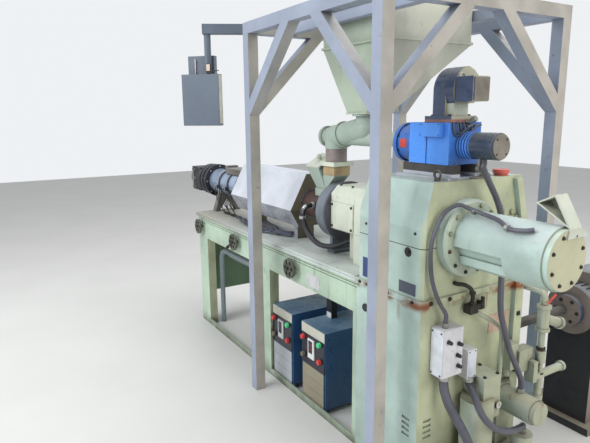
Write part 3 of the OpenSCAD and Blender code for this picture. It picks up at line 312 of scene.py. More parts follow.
MINT = linear(186, 208, 198)
# OLIVE_SIDE is the tone of the +X faces on the drive side: yellowed paint, with painted warm light on that
# side.
OLIVE_SIDE = linear(198, 203, 168)
seam_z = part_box("pedestal")[1][2]
split_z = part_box("gearbox_lower_housing")[1][2]
foot_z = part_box("blower_scroll")[0][2]
looks = {
    "mint_paint": painted("mint_paint_look", MINT, low_dirt=0.4, rust_at=seam_z, streaks=0.12, dust_and_top_light=0.7,
                          side_wear_and_shading=OLIVE_SIDE, seam_at=split_z),
    "deck_paint": painted("deck_paint_look", linear(194, 203, 198), 0.6, 0.14, 0.5, 0.35, rust=0.2,
                          below=("X", -0.9, -2.2, linear(162, 160, 150))),
    "cream_paint": painted("cream_paint_look", linear(204, 208, 192), dirt_and_shade=0.35, streaks=0.2, dust_and_top_light=0.2),
    "flange_steel": metal("flange_steel_look", linear(122, 130, 138), 0.5, 0.3, dirt_and_shade=0.6),
    "feed_brown": metal("feed_brown_look", linear(92, 70, 66), 0.5, 0.2, rust=0.3),
    "barrel_steel": metal("barrel_steel_look", linear(166, 182, 206), 0.28, 0.6, brushed=(0.05, 1, 1)),
    "band_steel": metal("band_steel_look", linear(66, 68, 76), 0.45, 0.5),
    # The cover's +X faces are dark brown: painted shade for the dark inside of its open end.
    "cover_white": metal("cover_white_look", linear(206, 209, 216), 0.5, 0.15, dirt_and_shade=0.2,
                         side_wear_and_shading=linear(120, 110, 92), stain=0.86),
    "cover_mesh": perforated("cover_mesh_look", linear(182, 184, 194)),
    "black_iron": metal("black_iron_look", linear(48, 48, 56), 0.45, 0.4, rust=0.05),
    "rusty_iron": metal("rusty_iron_look", linear(206, 178, 136), 0.7, 0.1, rust=0.3),
    # The rails are dark brown-grey above 1.407 m: painted shadow under the motor; below that they are pale
    # dusty grey.
    "rail_brown": painted("rail_brown_look", linear(66, 62, 60), 0.6, 0.12, 0.4, 0.5,
                          below=("Z", 1.407, 1.403, linear(184, 188, 196))),
    "sleeve_steel": metal("sleeve_steel_look", linear(158, 146, 142), 0.45, 0.4),
    # The hopper's +X faces are paler: painted light on that side.
    "hopper_paint": painted("hopper_paint_look", linear(176, 188, 168), 0.5, 0.1, 0.25, 0.2, streaks=0.15,
                            side_wear_and_shading=linear(212, 212, 194)),
    # The motor's bell, beyond X = -0.044 m towards -X, is a darker blue: painted shadow of the frame over it.
    "motor_blue": painted("motor_blue_look", linear(80, 148, 238), 0.32, 0.1, 0.3, 0.3,
                          side_wear_and_shading=linear(74, 132, 220),
                          below=("X", -0.044, -0.046, linear(52, 104, 184))),
    "motor_black": painted("motor_black_look", linear(58, 72, 92), 0.22, 0.12, 0.2, 0.3,
                           side_wear_and_shading=linear(146, 138, 128)),
    # The blower's +X faces are pale olive: painted light on its lit side; the reddish band at the scroll's
    # foot is its own paint.
    "blower_olive": painted("blower_olive_look", linear(66, 80, 108), 0.24, 0.12, 0.2, 0.3,
                            side_wear_and_shading=linear(176, 174, 152),
                            below=("Z", foot_z + 0.014, foot_z + 0.01, linear(150, 104, 94))),
    "cap_red": plastic("cap_red_look", linear(214, 100, 84)),
    "box_white": plastic("box_white_look", linear(222, 220, 224), 0.45, 0.3),
    "lead_black": plastic("lead_black_look", linear(88, 88, 98), 0.42, 0.3, 0),
    "pump_green": painted("pump_green_look", linear(182, 192, 178), 0.45, 0.16, 0.9, 0.7, rust=0.12,
                          streaks=0.3, side_wear_and_shading=linear(176, 178, 152), top_dust_and_light_tone=linear(166, 154, 128)),
    "column_grey": painted("column_grey_look", linear(112, 108, 102), 0.55, 0.2, 0.5, 0.3),
    "shaft_steel": metal("shaft_steel_look", linear(104, 100, 96), 0.5, 0.5, brushed=(1, 0.05, 1)),
    "unit_blue": painted("unit_blue_look", linear(48, 88, 128), 0.35, 0.1, 0.25, 0.75,
                         top_dust_and_light_tone=linear(136, 162, 180)),
    # The gantry's +X faces are paler and warmer: painted light on that side.
    "gantry_grey": painted("gantry_grey_look", linear(154, 162, 180), 0.45, 0.07, 0.25, 0.15, rust=0.04,
                           side_wear_and_shading=linear(188, 182, 172)),
    "wheel_grey": metal("wheel_grey_look", linear(102, 102, 92), 0.6, 0.3, rust=0.2),
    "arm_grey": painted("arm_grey_look", linear(100, 110, 124), 0.45, 0.1, 0.2),
    "panel_grey": painted("panel_grey_look", linear(104, 114, 128), 0.4, 0.05, 0.15),
}
trim = {
    "zinc": metal("zinc_look", linear(168, 168, 162), 0.4, 0.7, rust=0.1),
    "dark_bolt": metal("dark_bolt_look", linear(70, 66, 60), 0.55, 0.5, rust=0.3),
    "painted_bolt": metal("painted_bolt_look", linear(176, 182, 146), 0.5, 0.1, dirt_and_shade=0.8),
    "olive_plate": painted("olive_plate_look", linear(190, 188, 158), 0.5, 0.08, 0.4, 0.1),
    "black_panel": plastic("black_panel_look", linear(38, 36, 52), 0.3, 0.1),
    "cream_plastic": plastic("cream_plastic_look", linear(196, 194, 180), 0.4, 0.4),
    "white_plastic": plastic("white_plastic_look", linear(232, 232, 230), 0.4, 0.1),
    "grille": painted("grille_look", linear(160, 152, 130), 0.5, 0.14, 0.5, 0.0, rust=0.1),
    "grille_grey": painted("grille_grey_look", linear(172, 176, 180), 0.5, 0.1, 0.4, 0.0),
    "red_lens": glow("red_lens_look", linear(206, 60, 56), 0.12),
    "green_lens": glow("green_lens_look", linear(70, 196, 130), 0.25),
    "dull_lens": glow("dull_lens_look", linear(120, 112, 92), 0.02),
    "digits": glow("digits_look", linear(214, 60, 60), 0.4),
    "grey_lid": plastic("grey_lid_look", linear(214, 218, 226), 0.4, 0.25),
    "box_lid": plastic("box_lid_look", linear(234, 238, 248), 0.4, 0.12),
    "blank_plate": plastic("blank_plate_look", linear(206, 206, 206), 0.35, 0.3),
    "bright_zinc": metal("bright_zinc_look", linear(204, 204, 204), 0.35, 0.5, dirt_and_shade=0.3),
    "navy_plate": plastic("navy_plate_look", linear(50, 66, 120), 0.4, 0.3),
    "dark_plate": plastic("dark_plate_look", linear(74, 82, 98), 0.35, 0.3),
    "pink_plate": plastic("pink_plate_look", linear(204, 172, 152), 0.5, 0.4),
    "peach_plastic": plastic("peach_plastic_look", linear(228, 204, 184), 0.4, 0.2),
    "dusty_plate": painted("dusty_plate_look", linear(150, 142, 130), 0.6, 0.2, 0.5, 0.3),
    "beige_lead": plastic("beige_lead_look", linear(150, 144, 132), 0.6, 0.5),
    "dial": plastic("dial_look", linear(224, 224, 216), 0.3, 0.15),
    "soot": plastic("soot_look", linear(34, 34, 36), 0.5, 0.1),
    "hose_black": plastic("hose_black_look", linear(44, 44, 48), 0.35, 0.2),
    "red_paint": plastic("red_paint_look", linear(200, 66, 54), 0.4, 0.3),
}

# The CAD nodes take the look of their record slot, or one of their own
base_mint = linear(178, 198, 176)
base_wear = {"dirt_and_shade": 0.45, "low_dirt": 0.8, "streaks": 0.4, "dust_and_top_light": 0.5, "low_from": 0.1}
base_look = painted("base_look", base_mint, side_wear_and_shading=OLIVE_SIDE, **base_wear)
# The end wall's +X faces, inside the base, are dark green: painted shade.
end_wall_look = painted("end_wall_look", base_mint, side_wear_and_shading=linear(114, 142, 112), **base_wear)
chute_look = painted("chute_look", linear(160, 174, 162), 0.5, 0.1, 0.3, 0.3)
# The thrust cylinder is a darker copy of the mint with a pale bluish top: painted light on its top.
cylinder_look = painted("cylinder_look", linear(174, 194, 186), dust_and_top_light=0.8, streaks=0.1,
                        side_wear_and_shading=linear(190, 200, 178), top_dust_and_light_tone=linear(192, 198, 198))
operator_faces = ("Y", -0.6, -0.95)
drive_look = painted("drive_look", linear(62, 74, 96), 0.35, 0.12, 0.3, 0.5, side_wear_and_shading=linear(146, 132, 126),
                     side=operator_faces)
stand_look = painted("stand_look", linear(132, 120, 112), 0.5, 0.1, 0.4, 0.8, side_wear_and_shading=linear(40, 40, 44),
                     side=operator_faces, top_dust_and_light_tone=linear(140, 136, 116))
pipe_look = painted("pipe_look", linear(136, 148, 152), 0.4, 0.14, 0.3, 0.3)
own_look = {"feed_hose": trim["hose_black"], "base_operator_side": base_look, "base_far_side": base_look,
            "base_end_wall": end_wall_look, "base_cross_members": base_look, "chute_tube": chute_look,
            "dosing_tube": chute_look, "throat_yoke": chute_look, "thrust_cylinder": cylinder_look,
            "cooling_pipe": pipe_look, "drive_motor": drive_look, "drive_stand": stand_look}
slot_of = {part["node"]: part["material_slot"] for part in frame["record"]["subparts"]}
for name, piece in frame["nodes"].items():
    for place in piece.material_slots:
        place.material = own_look.get(name, looks[slot_of[name]])

# Mesh helpers in the machine's own frame: places are in metres, and plate and add_tube take millimetres

AXIS_Y, SCREW_Z, MOTOR_Z = -80, 1124, 1521  # the screw's axis and the dosing motor's height, in millimetres
OPERATOR_Y = -317  # the operator's faces of gearbox and base, in millimetres


def piece_from(bm, name, body, look, bevel=0.0):
    """Turns the drawn mesh into a piece of the scene that moves with its body."""
    mesh = bpy.data.meshes.new(name)
    bm.normal_update()
    bm.to_mesh(mesh)
    bm.free()
    piece = bpy.data.objects.new(name, mesh)
    bpy.context.collection.objects.link(piece)
    for material in (look if isinstance(look, (list, tuple)) else [look]):
        mesh.materials.append(material)
    if bevel:
        edge = piece.modifiers.new("edge", "BEVEL")
        edge.width = bevel
        edge.segments = 2
        edge.limit_method = "ANGLE"
    for face in mesh.polygons:
        face.use_smooth = True
    mesh.set_sharp_from_angle(angle=math.radians(35))
    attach(piece, body)


def turned(axis, centre):
    """A matrix that takes +Z to an axis at a place."""
    aim = Vector(axis).normalized().to_track_quat("Z", "Y")
    return Matrix.Translation(Vector(centre)) @ aim.to_matrix().to_4x4()


def mm(*place):
    return Vector(place) / 1000


def plate(bm, low, high, index=0):
    """A box between two corners, mostly a thin one."""
    low, high = mm(*low), mm(*high)
    made = bmesh.ops.create_cube(bm, size=1, matrix=Matrix.Translation((low + high) / 2)
                                 @ Matrix.Diagonal((*(high - low), 1)))
    for face in {f for v in made["verts"] for f in v.link_faces}:
        face.material_index = index


def add_rod(bm, centre, axis, radius, length, sides=24, index=0, top=None):
    """A rod that starts at a place and runs along an axis."""
    place = turned(axis, Vector(centre)) @ Matrix.Translation((0, 0, length / 2))
    made = bmesh.ops.create_cone(bm, cap_ends=True, segments=sides, radius1=radius,
                                 radius2=radius if top is None else top, depth=length, matrix=place)
    for face in {f for v in made["verts"] for f in v.link_faces}:
        face.material_index = index


def add_bolt(bm, centre, axis, size):
    """A hexagon head on its washer."""
    add_rod(bm, centre, axis, size * 1.05, size * 0.18, 20)
    start = Vector(centre) + Vector(axis).normalized() * size * 0.17
    add_rod(bm, start, axis, size * 0.86, size * 0.62, 6)
    start += Vector(axis).normalized() * size * 0.6
    add_rod(bm, start, axis, size * 0.62, size * 0.1, 12, top=size * 0.5)


def ring_of(centre, axis, radius, count, start=0.0):
    """Places evenly round a circle that faces along an axis."""
    place = turned(axis, centre)
    for k in range(count):
        angle = start + 2 * math.pi * k / count
        yield place @ Vector((radius * math.cos(angle), radius * math.sin(angle), 0))


def add_tube(bm, route, radius, sides=12, index=0):
    """A tube along a route given in millimetres."""
    points = [mm(*p) for p in route]
    side = None
    rings = []
    for i, point in enumerate(points):
        ahead = (points[min(i + 1, len(points) - 1)] - points[max(i - 1, 0)]).normalized()
        if side is None:
            side = ahead.orthogonal().normalized()
        side = (side - side.dot(ahead) * ahead).normalized()
        other = ahead.cross(side)
        rings.append([bm.verts.new(point + radius / 1000 * (math.cos(2 * math.pi * k / sides) * side
                                                            + math.sin(2 * math.pi * k / sides) * other))
                      for k in range(sides)])
    faces = [bm.faces.new(rings[0][::-1]), bm.faces.new(rings[-1])]
    for first, second in zip(rings, rings[1:]):
        for k in range(sides):
            faces.append(bm.faces.new((first[k], first[(k + 1) % sides], second[(k + 1) % sides], second[k])))
    for face in faces:
        face.material_index = index


def add_ring(bm, centre, radius, half):
    """A thin ring that faces the drive side."""
    sides = 40
    route = [(centre.x * 1000, (centre.y + radius * math.cos(a * 2 * math.pi / sides)) * 1000,
              (centre.z + radius * math.sin(a * 2 * math.pi / sides)) * 1000) for a in range(sides + 1)]
    add_tube(bm, route, half * 1000, 6)


def rounded(route):
    """The route with extra points on a smooth curve."""
    steps = 5
    out = []
    for i in range(len(route) - 1):
        a, b, c, d = (Vector(route[min(max(j, 0), len(route) - 1)]) for j in (i - 1, i, i + 1, i + 2))
        for k in range(steps):
            t = k / steps
            out.append(0.5 * (2 * b + (c - a) * t + (2 * a - 5 * b + 4 * c - d) * t * t
                              + (3 * b - a - 3 * c + d) * t * t * t))
    return out + [Vector(route[-1])]


def gearbox_details():
    """Bolts, plates, plugs and hose clips of the gearbox, and the fittings on its rear."""
    bm = bmesh.new()
    low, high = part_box("cylinder_end_plate")
    face = Vector((high[0], (low[1] + high[1]) / 2, (low[2] + high[2]) / 2))
    flange_bolts = list(ring_of(face - Vector((0.413, 0, 0)), (1, 0, 0), 0.1425, 12, math.radians(15)))
    painted_from = 1.14  # the flange's upper bolts are painted over, the lower ones bare
    for place in ring_of(face, (1, 0, 0), 0.093, 8, math.radians(22.5)):
        add_bolt(bm, place, (1, 0, 0), 0.0075)
    for place in flange_bolts:
        if place.z < painted_from:
            add_bolt(bm, place, (1, 0, 0), 0.008)
    for y in (-270, -160, 160):
        add_bolt(bm, mm(221, y, 878), (1, 0, 0), 0.009)
    for x in (-180, -124, 15, 170):
        add_bolt(bm, mm(x, -326, 878), (0, -1, 0), 0.008)
    for x in (-150, -90, 166):
        add_bolt(bm, mm(x, OPERATOR_Y, 1170 if x > 0 else 1160), (0, -1, 0), 0.006)
    piece_from(bm, "gearbox_bolts", MACHINE, trim["dark_bolt"])

    bm = bmesh.new()
    for place in flange_bolts:
        if place.z > painted_from:
            add_bolt(bm, place, (1, 0, 0), 0.010)
    for y, z in ((216, 1215), (245, 1189), (150, 1240)):
        add_bolt(bm, mm(212, y, z), (1, 0, 0), 0.012)
        plate(bm, (211, y - 22, z - 34), (216, y + 22, z - 14))
    piece_from(bm, "painted_bolts", MACHINE, trim["painted_bolt"])

    bm = bmesh.new()
    add_rod(bm, face - Vector((0.0005, 0, 0)), (1, 0, 0), 0.1125, 0.0008, 64)
    piece_from(bm, "end_plate_face", MACHINE, trim["olive_plate"])

    bm = bmesh.new()
    plate(bm, (78, OPERATOR_Y - 2, 904), (178, OPERATOR_Y + 0.5, 954))
    for x in (83, 173):
        for z in (909, 949):
            add_rod(bm, mm(x, OPERATOR_Y - 2, z), (0, -1, 0), 0.0025, 0.0012, 10)
    piece_from(bm, "gearbox_plate", MACHINE, trim["dark_plate"], bevel=0.0008)

    bm = bmesh.new()
    plate(bm, (-170, OPERATOR_Y - 1.4, 906), (-112, OPERATOR_Y + 0.5, 1000))
    piece_from(bm, "front_plate", MACHINE, trim["navy_plate"], bevel=0.0006)

    bm = bmesh.new()
    plate(bm, (212, 110, 656), (214, 250, 745))
    piece_from(bm, "rear_label", MACHINE, trim["pink_plate"], bevel=0.0008)

    bm = bmesh.new()
    add_rod(bm, mm(126, OPERATOR_Y, 1085), (0, 1, 0), 0.02, 0.006, 32)
    add_rod(bm, mm(126, OPERATOR_Y - 1, 1085), (0, -1, 0), 0.007, 0.004, 6)
    add_rod(bm, mm(-145, -316, 757), (0, -1, 0), 0.019, 0.008, 32)
    plate(bm, (235, 278, 716), (240, 300, 736))
    piece_from(bm, "plugs", MACHINE, trim["soot"], bevel=0.001)

    bm = bmesh.new()
    add_tube(bm, rounded([(212, -127, 941), (232, -127, 941), (246, -100, 936), (248, -63, 913),
                          (248, -48, 880), (248, -52, 838)]), 9)
    for z in (884, 836):
        add_rod(bm, mm(248, -50, z), (0, 0, 1), 0.014, 0.014, 6)
    plate(bm, (222, -72, 800), (262, -24, 838))
    add_rod(bm, mm(242, -24, 818), (0, 1, 0), 0.012, 0.05, 16)
    add_rod(bm, mm(242, 8, 818), (0, 1, 0), 0.017, 0.016, 6)
    add_rod(bm, mm(242, 32, 826), (-1, 0, 0), 0.010, 0.031, 16)
    add_rod(bm, mm(242, 26, 818), (0, 0, 1), 0.009, 0.04, 16)
    piece_from(bm, "rear_fittings", MACHINE, trim["dark_bolt"])

    bm = bmesh.new()
    for x, y, z in ((311, -143, 1265), (487, -172, 1234)):
        add_tube(bm, [(x - 7, y, z), (x + 7, y, z)], 12)
        add_bolt(bm, mm(x, y + 12, z + 6), (0, 0, 1), 0.005)
    for x, y, z in ((252, -206, 534), (268, -71, 499), (252, -212, 770)):
        add_rod(bm, mm(x, y, z), (0, 0, 1), 0.024 if z < 540 else 0.013, 0.022, 20)
    add_rod(bm, mm(342, 234, 185), (0, 0, 1), 0.019, 0.02, 6)
    add_rod(bm, mm(333, 212, 389), (0, 0, 1), 0.018, 0.02, 6)
    piece_from(bm, "hose_clips", MACHINE, trim["zinc"])


def box_details():
    """Lids, screws and glands of the two junction boxes, and the gauge, bolts and lever of the pump group."""
    bm = bmesh.new()
    plate(bm, (214, -253, 560), (280, -249.5, 768))
    plate(bm, (281.5, -97, 520), (286, -49, 648), 1)
    piece_from(bm, "box_lids", MACHINE, [trim["box_lid"], trim["grey_lid"]], bevel=0.0015)
    bm = bmesh.new()
    for x in (222, 272):
        for z in (570, 758):
            add_rod(bm, mm(x, -253, z), (0, -1, 0), 0.004, 0.002, 16)
    for y in (-91, -55):
        for z in (526, 642):
            add_rod(bm, mm(286, y, z), (1, 0, 0), 0.003, 0.0015, 16)
    for y, z in ((-222, 719), (-160, 700), (-166, 649), (-160, 600)):
        add_rod(bm, mm(282, y, z), (1, 0, 0), 0.010, 0.012, 6)
        add_rod(bm, mm(294, y, z), (1, 0, 0), 0.008, 0.008, 16)
    piece_from(bm, "box_screws", MACHINE, trim["soot"])
    bm = bmesh.new()
    add_rod(bm, mm(324, 76, 362), (1, 0, 0), 0.0155, 0.0012, 32, 0)
    add_rod(bm, mm(325, 76, 362), (1, 0, 0), 0.0025, 0.002, 16, 1)
    plate(bm, (325, 75.3, 362), (326.4, 76.7, 374), 1)
    piece_from(bm, "gauge_dial", MACHINE, [trim["dial"], trim["soot"]])
    bm = bmesh.new()
    for y in (-26, 56):
        for x in (225, 320):
            add_bolt(bm, mm(x, y, 520), (0, 0, 1), 0.008)
    for x in (225, 370):
        for y in (-145, 245):
            add_bolt(bm, mm(x, y, 90), (0, 0, 1), 0.009)
    add_tube(bm, [(300, 386, 744), (300, 414, 764)], 7)
    for z in (640, 752, 545, 480, 414, 300):
        add_rod(bm, mm(300, 390, z), (0, 0, 1), 0.021, 0.012, 6)
    piece_from(bm, "pump_bolts", MACHINE, trim["dark_bolt"])
    bm = bmesh.new()
    add_tube(bm, [(300, 410, 760), (300, 430, 778), (300, 474, 800)], 6)
    plate(bm, (294, 430, 772), (306, 436, 786))
    piece_from(bm, "valve_lever", MACHINE, trim["red_paint"])


def motor_details():
    """Screws, plates, eye and leads of the dosing motor and its blower."""
    bm = bmesh.new()
    for place in ring_of(mm(-130, AXIS_Y, MOTOR_Z), (-1, 0, 0), 0.084, 8, math.radians(22.5)):
        add_bolt(bm, place, (1, 0, 0), 0.006)
    for x, z in ((52, 1562), (154, 1562), (52, 1606), (154, 1606)):
        add_rod(bm, mm(x, -199, z), (0, -1, 0), 0.0026, 0.0015, 12)
    for place in ring_of(mm(370, AXIS_Y, MOTOR_Z), (1, 0, 0), 0.04, 4, math.radians(45)):
        add_rod(bm, place, (1, 0, 0), 0.004, 0.003, 12)
    for x in (58, 150):
        for y in (-160, -45):
            add_bolt(bm, mm(x + 22, y, 1640), (0, 0, 1), 0.007)
    piece_from(bm, "motor_screws", MACHINE, trim["dark_bolt"])

    bm = bmesh.new()
    rows = []
    for k in range(9):
        angle = math.radians(194 - 3.4 * k)
        rows.append([bm.verts.new(mm(x, AXIS_Y + out * math.cos(angle), MOTOR_Z - out * math.sin(angle)))
                     for x, out in ((-112, 82), (-112, 83.2), (-70, 83.2), (-70, 82))])
    for first, second in zip(rows, rows[1:]):
        for k in range(4):
            bm.faces.new((first[k], second[k], second[(k + 1) % 4], first[(k + 1) % 4]))
    bm.faces.new(rows[0])
    bm.faces.new(rows[-1][::-1])
    bmesh.ops.recalc_face_normals(bm, faces=bm.faces)
    piece_from(bm, "bell_plate", MACHINE, trim["red_paint"])

    bm = bmesh.new()
    plate(bm, (290.5, -155, 1700), (291.6, -73, 1786))
    for k in range(5):
        add_ring(bm, mm(291.5, -114, 1743), 0.008 + 0.007 * k, 0.0012)
    add_rod(bm, mm(369.5, AXIS_Y, MOTOR_Z), (1, 0, 0), 0.047, 0.0012, 48)
    for k in range(4):
        add_ring(bm, mm(370.5, AXIS_Y, MOTOR_Z), 0.009 + 0.010 * k, 0.0014)
    piece_from(bm, "motor_ends", MACHINE, trim["dusty_plate"])

    bm = bmesh.new()
    for k in range(6):
        low, out = 1560 + 9 * (k % 3), 196 + 5 * (k % 2)
        add_tube(bm, rounded([(120 + 12 * k, -60 - 8 * k, 1618), (150 + 8 * k, -90 - 7 * k, 1640 - 3 * k),
                              (186, -140 + 12 * k, 1632 - 2 * k), (out, -160 + 20 * k, 1600),
                              (out, -140 + 17 * k, low), (out + 2, -100 + 15 * k, low + 22),
                              (out - 2, -64 + 13 * k, 1602)]), 4, 8)
    piece_from(bm, "motor_leads", MACHINE, trim["dark_plate"])

    bm = bmesh.new()
    add_tube(bm, [(214, -142 + 13 * math.cos(a / 8 * math.pi), 1791 + 13 * math.sin(a / 8 * math.pi))
                  for a in range(-1, 10)], 3.5, 10)
    add_tube(bm, rounded([(150, -100, 1622), (176, -92, 1618), (206, -84, 1616), (226, -80, 1624)]), 8, 12)
    add_rod(bm, mm(220, -81, 1620), (1, 0.1, 0.5), 0.012, 0.022, 16)
    piece_from(bm, "motor_eye", MACHINE, trim["zinc"])

    bm = bmesh.new()
    for k in range(3):
        add_tube(bm, rounded([(282 + 6 * k, -96 + 12 * k, 1470), (280, -96 + 12 * k, 1450),
                              (262 - 8 * k, -70, 1424), (236 + 6 * k, -20 + 10 * k, 1404),
                              (206 + 9 * k, 6 + 14 * k, 1386), (190 + 4 * k, -20 - 18 * k, 1384),
                              (176, -70, 1383)]), 5.5, 8)
    piece_from(bm, "brake_leads", MACHINE, trim["beige_lead"])


def unit_details():
    """Fronts of the temperature units and, above them, the plates of the small box."""
    front = -299
    left_edges = (-1093.5, -748.5)
    for number, x in enumerate(left_edges):
        bm = bmesh.new()
        plate(bm, (x + 4, front - 2, 428), (x + 236, front + 1, 484), 0)
        plate(bm, (x + 6, front - 2.5, 244), (x + 234, front + 1, 426), 1)
        plate(bm, (x + 12, front - 2.5, 38), (x + 228, front + 1, 240), 2)
        for z in (104, 168):
            plate(bm, (x + 14, front - 3.2, z), (x + 226, front - 2.4, z + 2.5), 3)
        piece_from(bm, "unit_front_%d" % (number + 1), MACHINE,
                   [trim["cream_plastic"], trim["black_panel"], trim["grille" if number else "grille_grey"],
                    trim["dusty_plate"]], bevel=0.0008)
        bm = bmesh.new()
        plate(bm, (x + 78, front - 9, 292), (x + 140, front - 2, 408), 0)
        plate(bm, (x + 86, front - 10, 324), (x + 124, front - 8.6, 398), 1)
        for k in range(3 if number else 0):
            for row in (0, 1):
                plate(bm, (x + 90 + 11 * k, front - 10.5, 346 + 24 * row),
                      (x + 96 + 11 * k, front - 9.8, 350 + 24 * row), 2)
        piece_from(bm, "unit_display_%d" % (number + 1), MACHINE,
                   [trim["white_plastic"], trim["black_panel"], trim["digits"]], bevel=0.0008)
        bm = bmesh.new()
        for dx, z, index in ((30, 402, 0), (198, 408, 1), (198, 308, 0), (32, 296, 2)):
            add_rod(bm, mm(x + dx, front - 2, z), (0, -1, 0), 0.018, 0.006, 24, 3)
            add_rod(bm, mm(x + dx, front - 7, z), (0, -1, 0), 0.016, 0.016, 24, index, 0.014)
        lenses = [trim["red_lens"], trim["green_lens"], trim["dull_lens"], trim["soot"]]
        piece_from(bm, "unit_lamps_%d" % (number + 1), MACHINE, lenses, bevel=0.001)
    bm = bmesh.new()
    plate(bm, (-722.5, -141, 520), (-678.5, -139, 612), 0)
    plate(bm, (-722.5, -141, 486), (-678.5, -139, 520), 1)
    plate(bm, (-676.5, -138, 486), (-675, -100, 612), 0)
    piece_from(bm, "unit_top_box", MACHINE, [trim["soot"], trim["white_plastic"]])


def base_details():
    """Bare plate, lines and screws of the base, the lever of a wheel, and the leads on the deck."""
    bm = bmesh.new()
    plate(bm, (-665, OPERATOR_Y - 1.5, 728), (-535, OPERATOR_Y + 0.5, 800))
    piece_from(bm, "base_label", MACHINE, trim["blank_plate"], bevel=0.0008)
    bm = bmesh.new()
    for z in (836, 850):
        plate(bm, (-2273, OPERATOR_Y - 1.2, z), (-212, OPERATOR_Y + 0.5, z + 2))
    for k in range(3):
        add_bolt(bm, mm(-2240 + 45 * k, OPERATOR_Y, 822), (0, -1, 0), 0.006)
    for x in (-2207, -1555, -803):
        add_bolt(bm, mm(x, -357, 795), (0, -1, 0), 0.012)
    piece_from(bm, "base_screws", MACHINE, trim["dark_bolt"])
    bm = bmesh.new()
    add_tube(bm, [(-1555, -352, 795), (-1600, -356, 770), (-1650, -350, 742)], 7)
    add_rod(bm, mm(-1642, -351, 746), (-0.9, 0.1, -0.5), 0.011, 0.034, 16)
    piece_from(bm, "wheel_lever", MACHINE, trim["soot"])
    bm = bmesh.new()
    sway = random.Random(4)
    for k in range(13):
        first, last = -1900 + sway.uniform(0, 420), -1080 - sway.uniform(0, 160)
        route = []
        for i in range(9):
            out = math.sin(math.pi * i / 8) * sway.uniform(30, 105)
            x = first + (last - first) * i / 8
            route.append((x, -150 - out - sway.uniform(0, 12), 901 + 4 * (k % 3)))
        add_tube(bm, rounded(route), 4, 8)
    piece_from(bm, "deck_leads", MACHINE, trim["dark_plate"])


def feed_details():
    """Bolts of the coupling housing and the feed flange, and the elbow of the feed hose."""
    bm = bmesh.new()
    for x in (-577, -410):
        for z in (1066, 1182):
            add_bolt(bm, mm(x, -207, z), (0, -1, 0), 0.007)
    for x in (-560, -460, -330, -250):
        add_bolt(bm, mm(x, -160, 1280), (0, 0, 1), 0.008)
    for place in ring_of(mm(-693, AXIS_Y, SCREW_Z), (-1, 0, 0), 0.138, 12, math.radians(15)):
        add_bolt(bm, place, (-1, 0, 0), 0.010)
    piece_from(bm, "housing_bolts", MACHINE, trim["dark_bolt"])
    bm = bmesh.new()
    add_rod(bm, mm(-815, -171, 1140), (0, -1, 0), 0.019, 0.016, 6)
    add_rod(bm, mm(-815, -187, 1140), (0, -1, 0), 0.0125, 0.03, 20)
    elbow = [(-815, -212, 1140), (-816, -232, 1131), (-818, -244, 1108), (-817, -246, 1080)]
    add_tube(bm, rounded(elbow), 13, 20)
    add_rod(bm, mm(-816, -246, 1084), (0, 0, -1), 0.021, 0.016, 6)
    piece_from(bm, "hose_elbow", MACHINE, trim["bright_zinc"])


def die_details():
    """Plate and bolts of the die and its rings, screws of the clamp bands, and the heaters' leads."""
    bm = bmesh.new()
    plate(bm, (-2742, -182, 1030), (-2716, -177.5, 1218))
    for z in (1050, 1124, 1198):
        add_bolt(bm, mm(-2680, -178, z), (0, -1, 0), 0.010)
        add_bolt(bm, mm(-2729, -182, z), (0, -1, 0), 0.007)
    for place in ring_of(mm(-2365, AXIS_Y, SCREW_Z), (1, 0, 0), 0.117, 8):
        add_bolt(bm, place, (1, 0, 0), 0.007)
    for x in (-2162, -2004, -1857):
        add_bolt(bm, mm(x, -196, 1103), (0, -1, 0), 0.007)
        add_rod(bm, mm(x, -196, 1090), (0, 0, 1), 0.004, 0.03, 10)
    piece_from(bm, "die_bolts", MACHINE, trim["zinc"])
    bm = bmesh.new()
    for k in range(9):
        x = -2235 + 36 * k
        add_tube(bm, rounded([(x, -176, 1100 - 4 * (k % 3)), (x + 6, -182, 1050),
                              (x + 26 - 5 * (k % 4), -176, 990), (x + 44, -150 - 12 * (k % 3), 930),
                              (x + 80, -140 - 16 * (k % 3), 900),
                              (x + 150, -130 - 14 * (k % 3), 899)]), 3.5, 8)
    piece_from(bm, "heater_leads", MACHINE, trim["soot"])


def pendant_details():
    """Rim, switch and rod of the pendant, drawn flat and then turned as the arm holds the panel."""
    pivot = mm(-993, 631, 0)
    arm_turn, arm_reach, panel_turn, hanger = math.radians(-26.2), 1245, math.radians(71), 116
    turn = (Matrix.Translation(pivot) @ Matrix.Rotation(arm_turn, 4, "Z")
            @ Matrix.Translation(mm(0, -arm_reach, 0)) @ Matrix.Rotation(panel_turn, 4, "Z"))
    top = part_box("pendant_panel")[1][2] * 1000 - hanger
    bm = bmesh.new()
    plate(bm, (75.5, -29, top - 308), (78, 29, top - 4))
    plate(bm, (-168, -30, top - 320), (72, 30, top - 317.5))
    bm.transform(turn)
    piece_from(bm, "pendant_edge", PENDANT, trim["cream_plastic"], bevel=0.001)
    bm = bmesh.new()
    plate(bm, (-2, -36, top + 2), (30, -22, top + 62), 0)
    plate(bm, (2, -39, top + 18), (26, -35, top + 58), 1)
    add_tube(bm, [(24, -30, top + 10), (52, -30, top + 16), (82, -30, top + 20)], 3, 8, 0)
    add_tube(bm, [(-96, 20, top - 4), (-96, 20, top + 60), (-96, 20, top + 96)], 4, 8, 1)
    bm.transform(turn)
    piece_from(bm, "pendant_switch", PENDANT, [trim["soot"], trim["peach_plastic"]],
               bevel=0.001)


def hopper_details():
    """Bolts of the chute's end and of the frame's corners."""
    bm = bmesh.new()
    for place in ring_of(mm(-814, AXIS_Y, 1530), (-1, 0, 0), 0.046, 6):
        add_bolt(bm, place, (-1, 0, 0), 0.006)
    for y in (-430, 600):
        for x in (-993, 109):
            add_bolt(bm, mm(x, y, 2141), (0, 0, 1), 0.009)
    piece_from(bm, "hopper_bolts", MACHINE, trim["zinc"])


